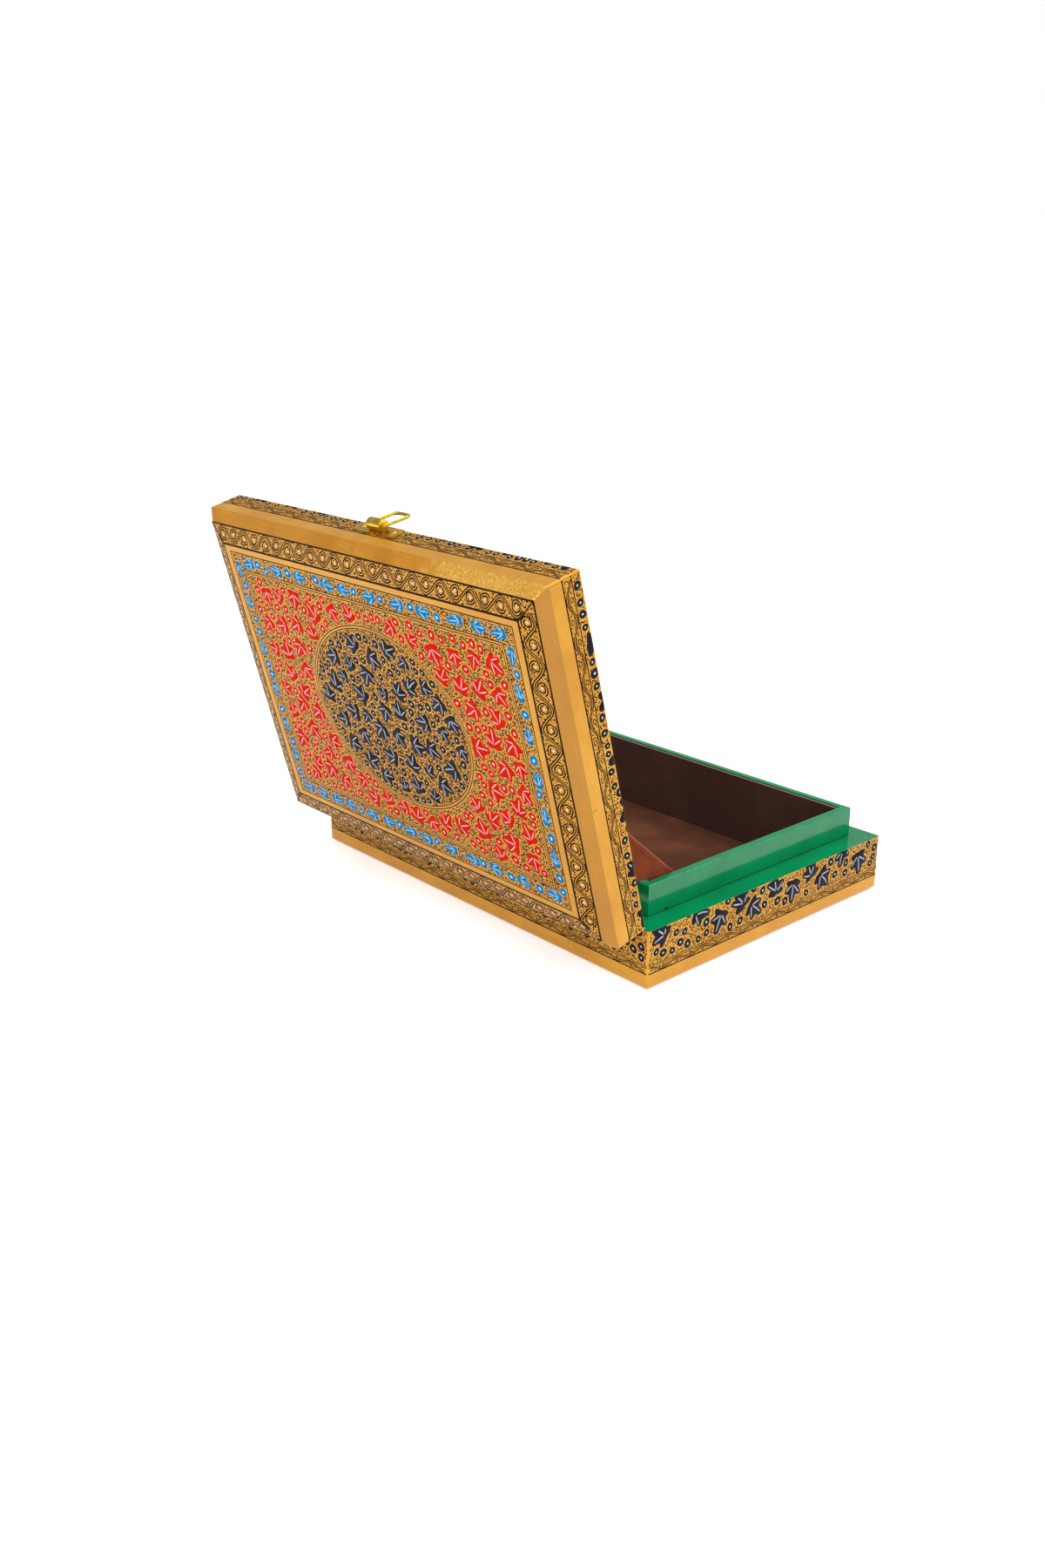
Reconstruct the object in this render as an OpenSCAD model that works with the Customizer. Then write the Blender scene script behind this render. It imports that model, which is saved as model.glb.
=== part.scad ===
// Hinged papier mache box: lacquered base and lid, green inner lip, velvet linings, brass hinges and hasp.
// Frame: origin under the centre of the base, +Z up, the hasp faces -Y and the hinges lie along +Y.
// It is drawn with the lid open and leaning back on its two cloth stays.
// Lid pieces are written where they lie with the lid closed, and lid_pose() opens them.

/* [Box] */
// Length of the box along its hinge side
box_w = 216; // [170:1:260]
// Depth of the box from the hasp side to the hinge side
box_d = 152.5; // [130:0.5:190]
// Radius of the upright corners
corner_r = 1.2; // [0.6:0.1:2.5]

/* [Base] */
// Height of the green ledge that the lid closes on
ledge_h = 26; // [22:0.5:40]
// Width of the ledge, which is the thickness of the base walls
ledge_w = 10; // [9:0.1:14]
// Thickness of the bottom board
bottom_t = 4.6; // [3.4:0.1:7]
// Radius of the worn lower edge of the bottom board
bottom_edge_r = 2.5; // [1:0.1:3.2]

/* [Lip] */
// Height of the inner lip above the ledge
lip_rise = 13.6; // [8:0.1:13.8]
// Thickness of the inner lip
lip_t = 3.4; // [2.4:0.1:5]
// Radius of the lip's upper outside edges
lip_edge_r = 0.6; // [0.2:0.1:1.2]

/* [Linings] */
// Thickness of the velvet covered card on the inner walls
lining_t = 0.9; // [0.5:0.1:2]
// How far the wall linings stop below the top of the lip
lining_drop = 0.8; // [0.2:0.1:3]
// Thickness of the velvet floor pad
floor_lining_t = 1.7; // [0.8:0.1:4]
// Thickness of the lining inside the lid
lid_lining_t = 0.8; // [0.4:0.1:1]
// Gap round the floor pad and round the lid lining
lining_gap = 0.3; // [0.1:0.1:1]

/* [Lid] */
// Height of the lid's upright sides
lid_side_h = 14.8; // [14.4:0.1:24]
// Rise of the steep gold bevel
bevel_rise = 3.9; // [1.5:0.1:7]
// How far the steep bevel runs in
bevel_in = 4.7; // [2:0.1:10]
// Rise of the shallow scroll border
border_rise = 1.9; // [0.5:0.1:4]
// How far the scroll border runs in
border_in = 8.1; // [4:0.1:14]
// Running gap between the lid's walls and the lip
lid_gap = 0.9; // [0.9:0.1:2]
// Gap between the ledge and the closed lid
seat_gap = 0.1; // [0.1:0.05:0.4]
// Angle that the lid is open by, in degrees
open_angle = 104.7; // [95:0.1:112]

/* [Hinges] */
// Distance of each hinge's middle from the middle of the box
hinge_x = 62; // [40:1:66]
// Length of a hinge
hinge_len = 25; // [18:0.5:34]
// Depth of a hinge leaf
leaf_d = 7.5; // [6:0.1:8.4]
// Thickness of a hinge leaf
leaf_t = 0.7; // [0.5:0.05:1]
// Outside radius of a hinge knuckle
knuckle_r = 1.3; // [1.2:0.05:2]
// Radius of a hinge pin
hinge_pin_r = 0.65; // [0.45:0.05:0.8]
// Gap between a knuckle and the back of the box
knuckle_back_gap = 0.3; // [0.15:0.05:1]
// Gap between neighbouring knuckles
knuckle_gap = 0.15; // [0.1:0.05:0.4]
// Distance of each hinge nail from the middle of its hinge
hinge_nail_x = 8; // [5:0.5:8]

/* [Hasp] */
// Length of the hasp plate along the lid
hasp_w = 27; // [22:0.5:36]
// Height of the hasp plate
hasp_h = 7.4; // [6:0.1:9]
// Thickness of the hasp plate and of the catch plate
plate_t = 0.6; // [0.4:0.05:1]
// Height of the hasp plate's lower edge above the lid's rim
hasp_low = 0.3; // [0.1:0.1:3]
// Outside radius of the hasp's rolled barrel
barrel_r = 2.5; // [1.8:0.1:3]
// Length of the barrel
barrel_len = 8; // [6:0.2:10]
// How deep the barrel is rolled into its plate
barrel_sink = 0.4; // [0.1:0.05:0.5]
// Radius of the loop's brass wire
wire_r = 0.7; // [0.5:0.05:1]
// Length of the loop from its pivot to the middle of its end bar
loop_len = 13.2; // [12:0.1:16]
// Bend radius of the loop's two far corners
loop_corner_r = 2.2; // [1.2:0.1:3.5]
// Angle that the loop leans towards the box at rest, in degrees
loop_lean = 4; // [0:0.5:4]
// Distance of each hasp nail from the middle of the plate
hasp_nail_x = 9.7; // [8:0.1:10]

/* [Catch] */
// Length of the catch plate along the base
catch_w = 21; // [19:0.5:28]
// Height of the catch plate
catch_h = 7; // [5:0.1:9]
// Width of the hook
hook_w = 5; // [3:0.1:6]
// Thickness of the hook
hook_t = 1.1; // [0.8:0.1:1.6]
// How far the hook's nose turns down beside the loop
hook_nose = 0.4; // [0.2:0.1:1]
// Distance of each catch nail from the middle of the plate
catch_nail_x = 7.8; // [7.4:0.1:8.2]

/* [Nails] */
// Shank radius of every nail
nail_r = 0.6; // [0.4:0.05:0.7]
// Shank length of the hinge nails
hinge_nail_len = 6; // [4:0.5:9]
// Shank length of the hasp and catch nails
front_nail_len = 5; // [3:0.5:7]
// Head radius of every nail
nail_head_r = 1.1; // [0.9:0.05:1.3]
// Height of the domed heads on the hasp and catch nails
nail_dome_h = 0.6; // [0.3:0.05:0.8]

/* [Stays] */
// Thickness of the cloth stays
stay_t = 0.6; // [0.4:0.1:1]
// How far in front of the hinge axis a stay starts on the base
stay_base_reach = 31.7; // [24:0.1:45]
// How far from the hinge axis a stay reaches on the lid
stay_lid_reach = 75; // [50:1:90]
// How far from the hinge axis a stay starts on the lid
stay_lid_start = 18; // [16:1:30]
// How far a stay's lower edge lies below the top of the linings
stay_drop = 0.4; // [0.2:0.1:3]
// How far the middle of a stay bellies into the box
stay_belly = 0.8; // [0:0.1:2]

/* [Hidden] */
$fn = 48;
// Running clearance of a pin or a nail in its hole
run_gap = 0.05;
// Overlap that makes a cut run clean through a face
past = 1;
// Gap between a stay and what it passes
stay_gap = 0.3;
// Thin slice used for the ends of the lid's bevels
slice = 0.01;
knuckles = 5;
stay_rows = 8;
stay_cols = 10;

lip_top = ledge_h + lip_rise;
lip_in = ledge_w + lip_t;
room_in = lip_in + lining_t;
lining_top = lip_top - lining_drop;
floor_top = bottom_t + floor_lining_t;
rim_t = ledge_w - lid_gap;
rim_z = ledge_h + seat_gap;
ceiling_z = rim_z + lid_side_h;
lid_lining_z = ceiling_z - lid_lining_t;

hinge_off = knuckle_r + knuckle_back_gap;
hinge_y = box_d / 2 + hinge_off;
hinge_z = ledge_h;
knuckle_len = hinge_len / knuckles;
hinge_nail_y = -(hinge_off + leaf_d / 2);

barrel_off = plate_t + barrel_r - barrel_sink;
hasp_z = rim_z + hasp_low + hasp_h / 2;
loop_half_w = barrel_len / 2 + wire_r + 0.1;
// Where the loop's end bar lies when the lid is closed
bar_z = hasp_z - loop_len * cos(loop_lean);
bar_off = barrel_off - loop_len * sin(loop_lean);
hook_low = bar_z + wire_r + 0.25;
hook_reach = bar_off + wire_r + 0.3;
catch_z = hook_low + hook_t / 2 - 1;

// Carries children from the closed lid's place to the open one.
module lid_pose() {
    translate([0, hinge_y, hinge_z])
        rotate([-open_angle, 0, 0])
            translate([0, -hinge_y, -hinge_z])
                children();
}

// The same turn for one point, given and returned as [y, z].
function opened(p) =
    let (dy = p[0] - hinge_y, dz = p[1] - hinge_z)
    [hinge_y + dy * cos(open_angle) + dz * sin(open_angle),
     hinge_z - dy * sin(open_angle) + dz * cos(open_angle)];

// Outline of the box, drawn in by a distance, with round corners.
module outline(inset = 0, r = corner_r) {
    w = box_w - 2 * inset;
    d = box_d - 2 * inset;
    square([w - 2 * r, d], center = true);
    square([w, d - 2 * r], center = true);
    for (sx = [-1, 1])
        for (sy = [-1, 1])
            translate([sx * (w / 2 - r), sy * (d / 2 - r)])
                circle(r);
}

// Square cornered hollow, drawn in from the outside of the box.
module hollow(inset) {
    square([box_w - 2 * inset, box_d - 2 * inset], center = true);
}

// Bar along X that rounds an edge: it fills the corner outside a quarter circle.
module edge_cutter(len, r) {
    rotate([0, 90, 0])
        translate([0, 0, -len / 2])
            linear_extrude(len)
                difference() {
                    translate([-r, -r]) square([r + past, r + past]);
                    translate([-r, -r]) circle(r);
                }
}

module base_bottom() {
    color("goldenrod")
        difference() {
            linear_extrude(bottom_t) outline();
            for (s = [0, 180])
                rotate([0, 0, s])
                    translate([0, box_d / 2, 0])
                        edge_cutter(box_w + 2 * past, bottom_edge_r);
            for (s = [90, 270])
                rotate([0, 0, s])
                    translate([0, box_w / 2, 0])
                        edge_cutter(box_d + 2 * past, bottom_edge_r);
        }
}

module base_walls() {
    color("darkgoldenrod")
        difference() {
            translate([0, 0, bottom_t])
                linear_extrude(ledge_h - bottom_t)
                    difference() {
                        outline();
                        hollow(ledge_w);
                    }
            at_hinges() leaf_pocket();
            at_hinges() at_leaf_nails() nail_hole(hinge_nail_len);
            at_catch() at_front_nails(catch_nail_x) front_nail_hole();
        }
}

module lip_frame() {
    color("seagreen")
        difference() {
            translate([0, 0, bottom_t])
                linear_extrude(lip_top - bottom_t)
                    difference() {
                        hollow(ledge_w);
                        hollow(lip_in);
                    }
            translate([0, 0, lip_top])
                mirror([0, 0, 1]) {
                    for (s = [0, 180])
                        rotate([0, 0, s])
                            translate([0, box_d / 2 - ledge_w, 0])
                                edge_cutter(box_w, lip_edge_r);
                    for (s = [90, 270])
                        rotate([0, 0, s])
                            translate([0, box_w / 2 - ledge_w, 0])
                                edge_cutter(box_d, lip_edge_r);
                }
        }
}

// Lining card on the front or back inner wall: side is -1 for the front.
module long_lining(side) {
    color("#3a2420")
        translate([0, side * (box_d / 2 - lip_in - lining_t / 2), (bottom_t + lining_top) / 2])
            cube([box_w - 2 * lip_in, lining_t, lining_top - bottom_t], center = true);
}

// Lining card on the left or right inner wall, between the two long ones.
module short_lining(side) {
    color("#3a2420")
        translate([side * (box_w / 2 - lip_in - lining_t / 2), 0, (bottom_t + lining_top) / 2])
            cube([lining_t, box_d - 2 * room_in, lining_top - bottom_t], center = true);
}

module front_lining() {
    long_lining(-1);
}

module back_lining() {
    long_lining(1);
}

module left_lining() {
    short_lining(-1);
}

module right_lining() {
    short_lining(1);
}

module floor_lining() {
    color("#5a3224")
        translate([0, 0, bottom_t])
            linear_extrude(floor_lining_t)
                hollow(room_in + lining_gap);
}

module lid_frame() {
    color("darkgoldenrod")
        lid_pose()
            difference() {
                translate([0, 0, rim_z])
                    linear_extrude(lid_side_h)
                        difference() {
                            outline();
                            hollow(rim_t);
                        }
                at_hinges() mirror([0, 0, 1]) leaf_pocket();
                at_hinges() mirror([0, 0, 1]) at_leaf_nails() nail_hole(hinge_nail_len);
                at_hasp() at_front_nails(hasp_nail_x) front_nail_hole();
            }
}

// Board with the steep gold bevel and the shallow scroll border under its raised panel.
module lid_top() {
    color("goldenrod")
        lid_pose()
            translate([0, 0, ceiling_z]) {
                hull() {
                    linear_extrude(slice) outline();
                    translate([0, 0, bevel_rise - slice])
                        linear_extrude(slice) outline(bevel_in);
                }
                hull() {
                    translate([0, 0, bevel_rise - slice])
                        linear_extrude(slice) outline(bevel_in);
                    translate([0, 0, bevel_rise + border_rise - slice])
                        linear_extrude(slice) outline(bevel_in + border_in);
                }
            }
}

module lid_lining() {
    color("#3a2420")
        lid_pose()
            translate([0, 0, lid_lining_z])
                linear_extrude(lid_lining_t)
                    hollow(rim_t + lining_gap);
}

// Places a hinge at each end of the back: its axis is X through the origin, the box lies towards -Y.
module at_hinges(sides = [-1, 1]) {
    for (s = sides)
        translate([s * hinge_x, hinge_y, hinge_z])
            children();
}

module at_leaf_nails() {
    for (s = [-1, 1])
        translate([s * hinge_nail_x, hinge_nail_y, -seat_gap])
            children();
}

// Shallow recess that lets the lower leaf lie flush in the wood.
module leaf_pocket() {
    wide = hinge_len + 2 * knuckle_gap;
    back = hinge_off + leaf_d + knuckle_gap;
    translate([-wide / 2, -back, -(leaf_t + seat_gap)])
        cube([wide, back, leaf_t + seat_gap + past]);
}

// Countersunk nail, its flat head upward at the origin.
module flat_nail(len, gap = 0) {
    translate([0, 0, -len]) cylinder(h = len, r = nail_r + gap);
    translate([0, 0, -leaf_t])
        cylinder(h = leaf_t, r1 = nail_r + gap, r2 = nail_head_r + gap);
}

module nail_hole(len) {
    translate([0, 0, -(len + run_gap)])
        cylinder(h = len + run_gap + past, r = nail_r + run_gap);
}

// Lower hinge leaf: first is 0 for the leaf that holds the outer knuckles, 1 for the other.
module hinge_leaf(first) {
    difference() {
        union() {
            translate([-hinge_len / 2, -(hinge_off + leaf_d), -(leaf_t + seat_gap)])
                cube([hinge_len, leaf_d, leaf_t]);
            for (i = [first:2:knuckles - 1])
                translate([(i - (knuckles - 1) / 2) * knuckle_len, 0, 0])
                    knuckle();
        }
        rotate([0, 90, 0])
            cylinder(h = hinge_len + 2 * past, r = hinge_pin_r + run_gap, center = true);
        at_leaf_nails() flat_nail(leaf_t + past, run_gap);
    }
}

// One knuckle and the finger that ties it to its leaf.
module knuckle() {
    len = knuckle_len - knuckle_gap;
    rotate([0, 90, 0]) cylinder(h = len, r = knuckle_r, center = true);
    translate([-len / 2, -hinge_off - slice, -(leaf_t + seat_gap)])
        cube([len, hinge_off + slice, leaf_t]);
}

module left_hinge_base_leaf() {
    color("gold") at_hinges([-1]) hinge_leaf(0);
}

module right_hinge_base_leaf() {
    color("gold") at_hinges([1]) hinge_leaf(0);
}

module left_hinge_lid_leaf() {
    color("gold") lid_pose() at_hinges([-1]) mirror([0, 0, 1]) hinge_leaf(1);
}

module right_hinge_lid_leaf() {
    color("gold") lid_pose() at_hinges([1]) mirror([0, 0, 1]) hinge_leaf(1);
}

module hinge_pin() {
    rotate([0, 90, 0]) cylinder(h = hinge_len, r = hinge_pin_r, center = true);
}

module left_hinge_pin() {
    color("darkkhaki") at_hinges([-1]) hinge_pin();
}

module right_hinge_pin() {
    color("darkkhaki") at_hinges([1]) hinge_pin();
}

module base_hinge_nails() {
    color("darkkhaki") at_hinges() at_leaf_nails() flat_nail(hinge_nail_len);
}

module lid_hinge_nails() {
    color("darkkhaki")
        lid_pose() at_hinges() mirror([0, 0, 1]) at_leaf_nails() flat_nail(hinge_nail_len);
}

// Turns a plate's own frame, X along and Z out of the wood, onto the front of the box.
module at_front(z) {
    translate([0, -box_d / 2, z])
        rotate([90, 0, 0])
            children();
}

module at_hasp() {
    at_front(hasp_z) children();
}

module at_catch() {
    at_front(catch_z) children();
}

module at_front_nails(x) {
    for (s = [-1, 1])
        translate([s * x, 0, plate_t])
            children();
}

// Nail with a low domed head that sits on the plate's face.
module dome_nail() {
    ball_r = (nail_head_r * nail_head_r + nail_dome_h * nail_dome_h) / (2 * nail_dome_h);
    translate([0, 0, -(plate_t + front_nail_len)])
        cylinder(h = plate_t + front_nail_len + slice, r = nail_r);
    intersection() {
        translate([0, 0, nail_dome_h - ball_r]) sphere(ball_r);
        cylinder(h = nail_dome_h + past, r = nail_head_r + past);
    }
}

module front_nail_hole() {
    translate([0, 0, -(plate_t + front_nail_len + run_gap)])
        cylinder(h = plate_t + front_nail_len + past, r = nail_r + run_gap);
}

// Flat brass plate with round nail holes.
module nail_plate(w, h, nail_x) {
    difference() {
        translate([-w / 2, -h / 2, 0]) cube([w, h, plate_t]);
        at_front_nails(nail_x) front_nail_hole();
        for (sx = [-1, 1])
            for (sy = [-1, 1])
                translate([sx * w / 2, sy * h / 2, plate_t / 2])
                    rotate([0, 0, 45])
                        cube([1.6, 1.6, 2 * plate_t], center = true);
    }
}

module hasp_plate() {
    color("gold")
        lid_pose()
            at_hasp()
                difference() {
                    union() {
                        nail_plate(hasp_w, hasp_h, hasp_nail_x);
                        translate([0, 0, barrel_off])
                            rotate([0, 90, 0])
                                cylinder(h = barrel_len, r = barrel_r, center = true);
                    }
                    translate([0, 0, barrel_off])
                        rotate([0, 90, 0])
                            cylinder(h = barrel_len + past, r = wire_r + run_gap, center = true);
                }
}

module hasp_nails() {
    color("darkkhaki") lid_pose() at_hasp() at_front_nails(hasp_nail_x) dome_nail();
}

// Closed wire loop: its pivot bar runs along X through the origin and the rest hangs towards -Y.
module wire_loop() {
    side = loop_len - loop_corner_r;
    end_half = loop_half_w - loop_corner_r;
    rotate([0, 90, 0]) cylinder(h = 2 * loop_half_w, r = wire_r, center = true);
    translate([0, -loop_len, 0])
        rotate([0, 90, 0]) cylinder(h = 2 * end_half, r = wire_r, center = true);
    for (s = [0, 1])
        mirror([s, 0, 0]) {
            translate([loop_half_w, 0, 0]) sphere(wire_r);
            translate([loop_half_w, 0, 0])
                rotate([90, 0, 0]) cylinder(h = side, r = wire_r);
            translate([end_half, -side, 0])
                rotate([0, 0, -90])
                    rotate_extrude(angle = 90)
                        translate([loop_corner_r, 0]) circle(wire_r);
        }
}

module hasp_loop() {
    color("gold")
        lid_pose()
            at_hasp()
                translate([0, 0, barrel_off])
                    rotate([loop_lean, 0, 0])
                        wire_loop();
}

// Plate with a forward hook whose nose turns down in front of the loop's end bar.
module catch_plate() {
    low = hook_low - catch_z;
    color("gold")
        at_catch() {
            nail_plate(catch_w, catch_h, catch_nail_x);
            translate([-hook_w / 2, low, plate_t / 2])
                cube([hook_w, hook_t, hook_reach - plate_t / 2]);
            translate([-hook_w / 2, low - hook_nose, hook_reach])
                cube([hook_w, hook_t + hook_nose, 0.8 * hook_t]);
        }
}

module catch_nails() {
    color("darkkhaki") at_catch() at_front_nails(catch_nail_x) dome_nail();
}

// Cloth stay, drawn for the left side: a gusset from the base's lining, over the lip, to the lid's lining.
stay_x = -(box_w / 2 - room_in - stay_gap);
stay_z = lining_top - stay_drop;
stay_lid_z = lid_lining_z - stay_gap;
stay_back_y = box_d / 2 - room_in - 2 * stay_gap;
stay_over_z = lip_top + 3 * stay_gap;
stay_front = [hinge_y - stay_base_reach, stay_z];
stay_end = opened([hinge_y - stay_lid_reach, stay_lid_z]);
stay_start = opened([hinge_y - stay_lid_start, stay_lid_z]);
stay_step = [box_d / 2 - ledge_w + 2 * stay_gap, stay_over_z];

// Rows from the base to the lid: each is [share of the way along the free edge, back point].
stay_path = concat(
    [[0, [stay_back_y, stay_z]], [0.03, [stay_back_y, stay_over_z]]],
    [for (i = [0:stay_rows])
        [0.1 + 0.9 * i / stay_rows, stay_step + (stay_start - stay_step) * i / stay_rows]]
);

function stay_point(row, col) =
    let (
        front = stay_front + (stay_end - stay_front) * row[0],
        flat = front + (row[1] - front) * col / stay_cols,
        belly = stay_belly * sin(180 * row[0])
    )
    [stay_x + belly, flat[0], flat[1]];

module stay() {
    rows = len(stay_path);
    across = stay_cols + 1;
    face = [for (row = stay_path) for (col = [0:stay_cols]) stay_point(row, col)];
    back = [for (p = face) p + [stay_t, 0, 0]];
    far = rows * across;
    cells = [for (i = [0:rows - 2]) for (j = [0:stay_cols - 1]) i * across + j];
    rim = concat(
        [for (j = [0:stay_cols - 1]) [j, j + 1]],
        [for (i = [0:rows - 2]) [i * across + stay_cols, (i + 1) * across + stay_cols]],
        [for (j = [stay_cols:-1:1]) [(rows - 1) * across + j, (rows - 1) * across + j - 1]],
        [for (i = [rows - 1:-1:1]) [i * across, (i - 1) * across]]
    );
    color("sienna")
        polyhedron(
            points = concat(face, back),
            faces = concat(
                [for (c = cells) [c, c + 1, c + across]],
                [for (c = cells) [c + 1, c + across + 1, c + across]],
                [for (c = cells) [far + c, far + c + across, far + c + 1]],
                [for (c = cells) [far + c + 1, far + c + across, far + c + across + 1]],
                [for (e = rim) [e[0], far + e[0], e[1]]],
                [for (e = rim) [e[1], far + e[0], far + e[1]]]
            )
        );
}

module left_stay() {
    stay();
}

module right_stay() {
    mirror([1, 0, 0]) stay();
}

base_bottom();
base_walls();
lip_frame();
front_lining();
back_lining();
left_lining();
right_lining();
floor_lining();
lid_frame();
lid_top();
lid_lining();
left_hinge_base_leaf();
left_hinge_lid_leaf();
left_hinge_pin();
right_hinge_base_leaf();
right_hinge_lid_leaf();
right_hinge_pin();
base_hinge_nails();
lid_hinge_nails();
hasp_plate();
hasp_nails();
hasp_loop();
catch_plate();
catch_nails();
left_stay();
right_stay();
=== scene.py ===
import math

import bpy
import numpy as np
from mathutils import Matrix, Vector


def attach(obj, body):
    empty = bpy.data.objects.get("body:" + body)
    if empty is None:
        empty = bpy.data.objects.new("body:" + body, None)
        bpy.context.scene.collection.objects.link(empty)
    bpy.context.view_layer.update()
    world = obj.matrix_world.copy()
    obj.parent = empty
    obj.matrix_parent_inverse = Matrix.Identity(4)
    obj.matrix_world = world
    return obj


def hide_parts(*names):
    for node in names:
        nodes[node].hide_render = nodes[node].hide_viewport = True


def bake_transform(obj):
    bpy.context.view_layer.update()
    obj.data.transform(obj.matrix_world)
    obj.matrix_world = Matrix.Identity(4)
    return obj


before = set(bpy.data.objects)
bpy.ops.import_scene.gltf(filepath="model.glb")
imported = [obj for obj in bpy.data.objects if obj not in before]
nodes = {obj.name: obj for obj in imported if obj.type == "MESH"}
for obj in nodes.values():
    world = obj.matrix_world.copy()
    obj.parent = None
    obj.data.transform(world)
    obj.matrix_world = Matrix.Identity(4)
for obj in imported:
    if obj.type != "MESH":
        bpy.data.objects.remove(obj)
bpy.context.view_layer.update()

MM = 0.001

# Sizes of the part in millimetres, with the lid shut
BOX_W, BOX_D = 216.0, 152.5
LEDGE_H, LEDGE_W = 26.0, 10.0
LIP_TOP, LINING_TOP, ROOM_IN = 39.6, 38.8, 14.3
RIM_Z, CEILING_Z = 26.1, 40.9
BEVEL_TOP, BEVEL_IN = 44.8, 4.7
LID_TOP, BORDER_IN = 46.7, 12.8
HINGE_Y, HINGE_Z = 77.85, 26.0
HINGE_X, HINGE_LEN, KNUCKLE_R = 62.0, 25.0, 1.9
OPEN_ANGLE = math.radians(104.7)
LID_LINING_T, STAY_T, STAY_GAP = 0.8, 0.6, 0.3     # thickness of lining and stay, air round a stay
HASP_Z, HASP_W, HASP_H = 30.1, 27.0, 7.4
CATCH_Z, CATCH_W, CATCH_H = 17.4, 21.0, 7.0


# ---------------------------------------------------------------- camera

def new_object(name, data):
    obj = bpy.data.objects.new(name, data)
    bpy.context.scene.collection.objects.link(obj)
    return obj


def make_camera():
    """A camera fitted to the corners of base and lid in the photograph."""
    right = Vector((-0.66959086, -0.74272825, 0.00168167))
    up = Vector((0.25312808, -0.22607244, 0.94064734))
    back = Vector((-0.69826517, 0.63027454, 0.33938142))
    data = bpy.data.cameras.new("camera")
    data.sensor_width = 36
    data.lens = 34.2009
    data.clip_start, data.clip_end = 0.02, 50
    cam = new_object("camera", data)
    m = Matrix((right, up, back)).transposed().to_4x4()
    m.translation = Vector((-0.466588, 0.466607, 0.27801))
    cam.matrix_world = m
    bpy.context.scene.camera = cam


make_camera()


# ---------------------------------------------------------------- node helpers

def linear(rgb):
    """sRGB 0-255 to linear RGBA."""
    out = []
    for c in rgb:
        c = c / 255
        out.append(c / 12.92 if c <= 0.04045 else ((c + 0.055) / 1.055) ** 2.4)
    return (*out, 1.0)


class Nodes:
    """Short calls for a material's node tree."""

    def __init__(self, name):
        self.mat = bpy.data.materials.new(name)
        self.mat.use_nodes = True
        self.tree = self.mat.node_tree
        self.bsdf = self.tree.nodes["Principled BSDF"]

    def add(self, kind, inputs=None, **props):
        n = self.tree.nodes.new(kind)
        for k, v in props.items():
            setattr(n, k, v)
        for k, v in (inputs or {}).items():
            self.put(n.inputs[k], v)
        return n

    def put(self, socket, value):
        if isinstance(value, bpy.types.NodeSocket):
            self.tree.links.new(value, socket)
        elif isinstance(value, bpy.types.Node):
            self.tree.links.new(value.outputs[0], socket)
        else:
            socket.default_value = value

    def shader(self, **inputs):
        """Sets the shader's sockets; a name has _ for each space."""
        for k, v in inputs.items():
            self.put(self.bsdf.inputs[k.replace("_", " ")], v)

    def place(self, turn=0.0, stretch=(1, 1, 1)):
        """Object coordinates in millimetres, turned about the hinge, then stretched."""
        coord = self.add("ShaderNodeTexCoord").outputs["Object"]
        if turn:
            coord = self.add("ShaderNodeVectorRotate", {"Vector": coord, "Angle": turn,
                             "Center": (0, HINGE_Y * MM, HINGE_Z * MM)}, rotation_type="X_AXIS")
        return self.add("ShaderNodeMapping",
                        {"Vector": coord, "Scale": tuple(k / MM for k in stretch)})

    def noise(self, vector, scale, detail=2.0, rough=0.5, distort=0.0):
        return self.add("ShaderNodeTexNoise", {"Vector": vector, "Scale": scale, "Detail": detail,
                        "Roughness": rough, "Distortion": distort}).outputs["Fac"]

    def range(self, value, a, b, c=0, d=1):
        """value taken from the range a..b to the range c..d."""
        return self.add("ShaderNodeMapRange", {"Value": value, "From Min": a, "From Max": b,
                        "To Min": c, "To Max": d}).outputs["Result"]

    def math(self, op, a, b=0.0):
        return self.add("ShaderNodeMath", {0: a, 1: b}, operation=op).outputs[0]

    def times(self, a, b):
        return self.math("MULTIPLY", a, b)

    def size(self, a):
        return self.math("ABSOLUTE", a)

    def mix(self, fac, a, b, blend="MIX"):
        n = self.add("ShaderNodeMix", data_type="RGBA", blend_type=blend)
        self.put(n.inputs["Factor"], fac)
        self.put(n.inputs["A"], a)
        self.put(n.inputs["B"], b)
        return n.outputs["Result"]

    def bump(self, height, strength, distance):
        return self.add("ShaderNodeBump", {"Height": height, "Strength": strength,
                        "Distance": distance}).outputs["Normal"]

    def xyz(self, vector):
        n = self.add("ShaderNodeSeparateXYZ", {"Vector": vector})
        return n.outputs[0], n.outputs[1], n.outputs[2]


# The lid stands open, so its patterns are made in the shut lid's frame, turned back about the hinge
LID_TURN = OPEN_ANGLE

# ---------------------------------------------------------------- materials

GOLD = linear((216, 153, 38))
GOLD_DEEP = linear((194, 131, 30))
GOLD_PALE = linear((227, 171, 58))
GREEN = linear((0, 142, 86))
GREEN_DEEP = linear((0, 130, 78))
GOLD_METAL = 0.35
KNOCK_Y = 55.5     # where the knock at the foot of the lip lies
FOIL_X, FOIL_WANDER = -48.0, 9.0     # where the foil patch on the front bevel, brightened as a painted highlight, ends, and how raggedly


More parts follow.
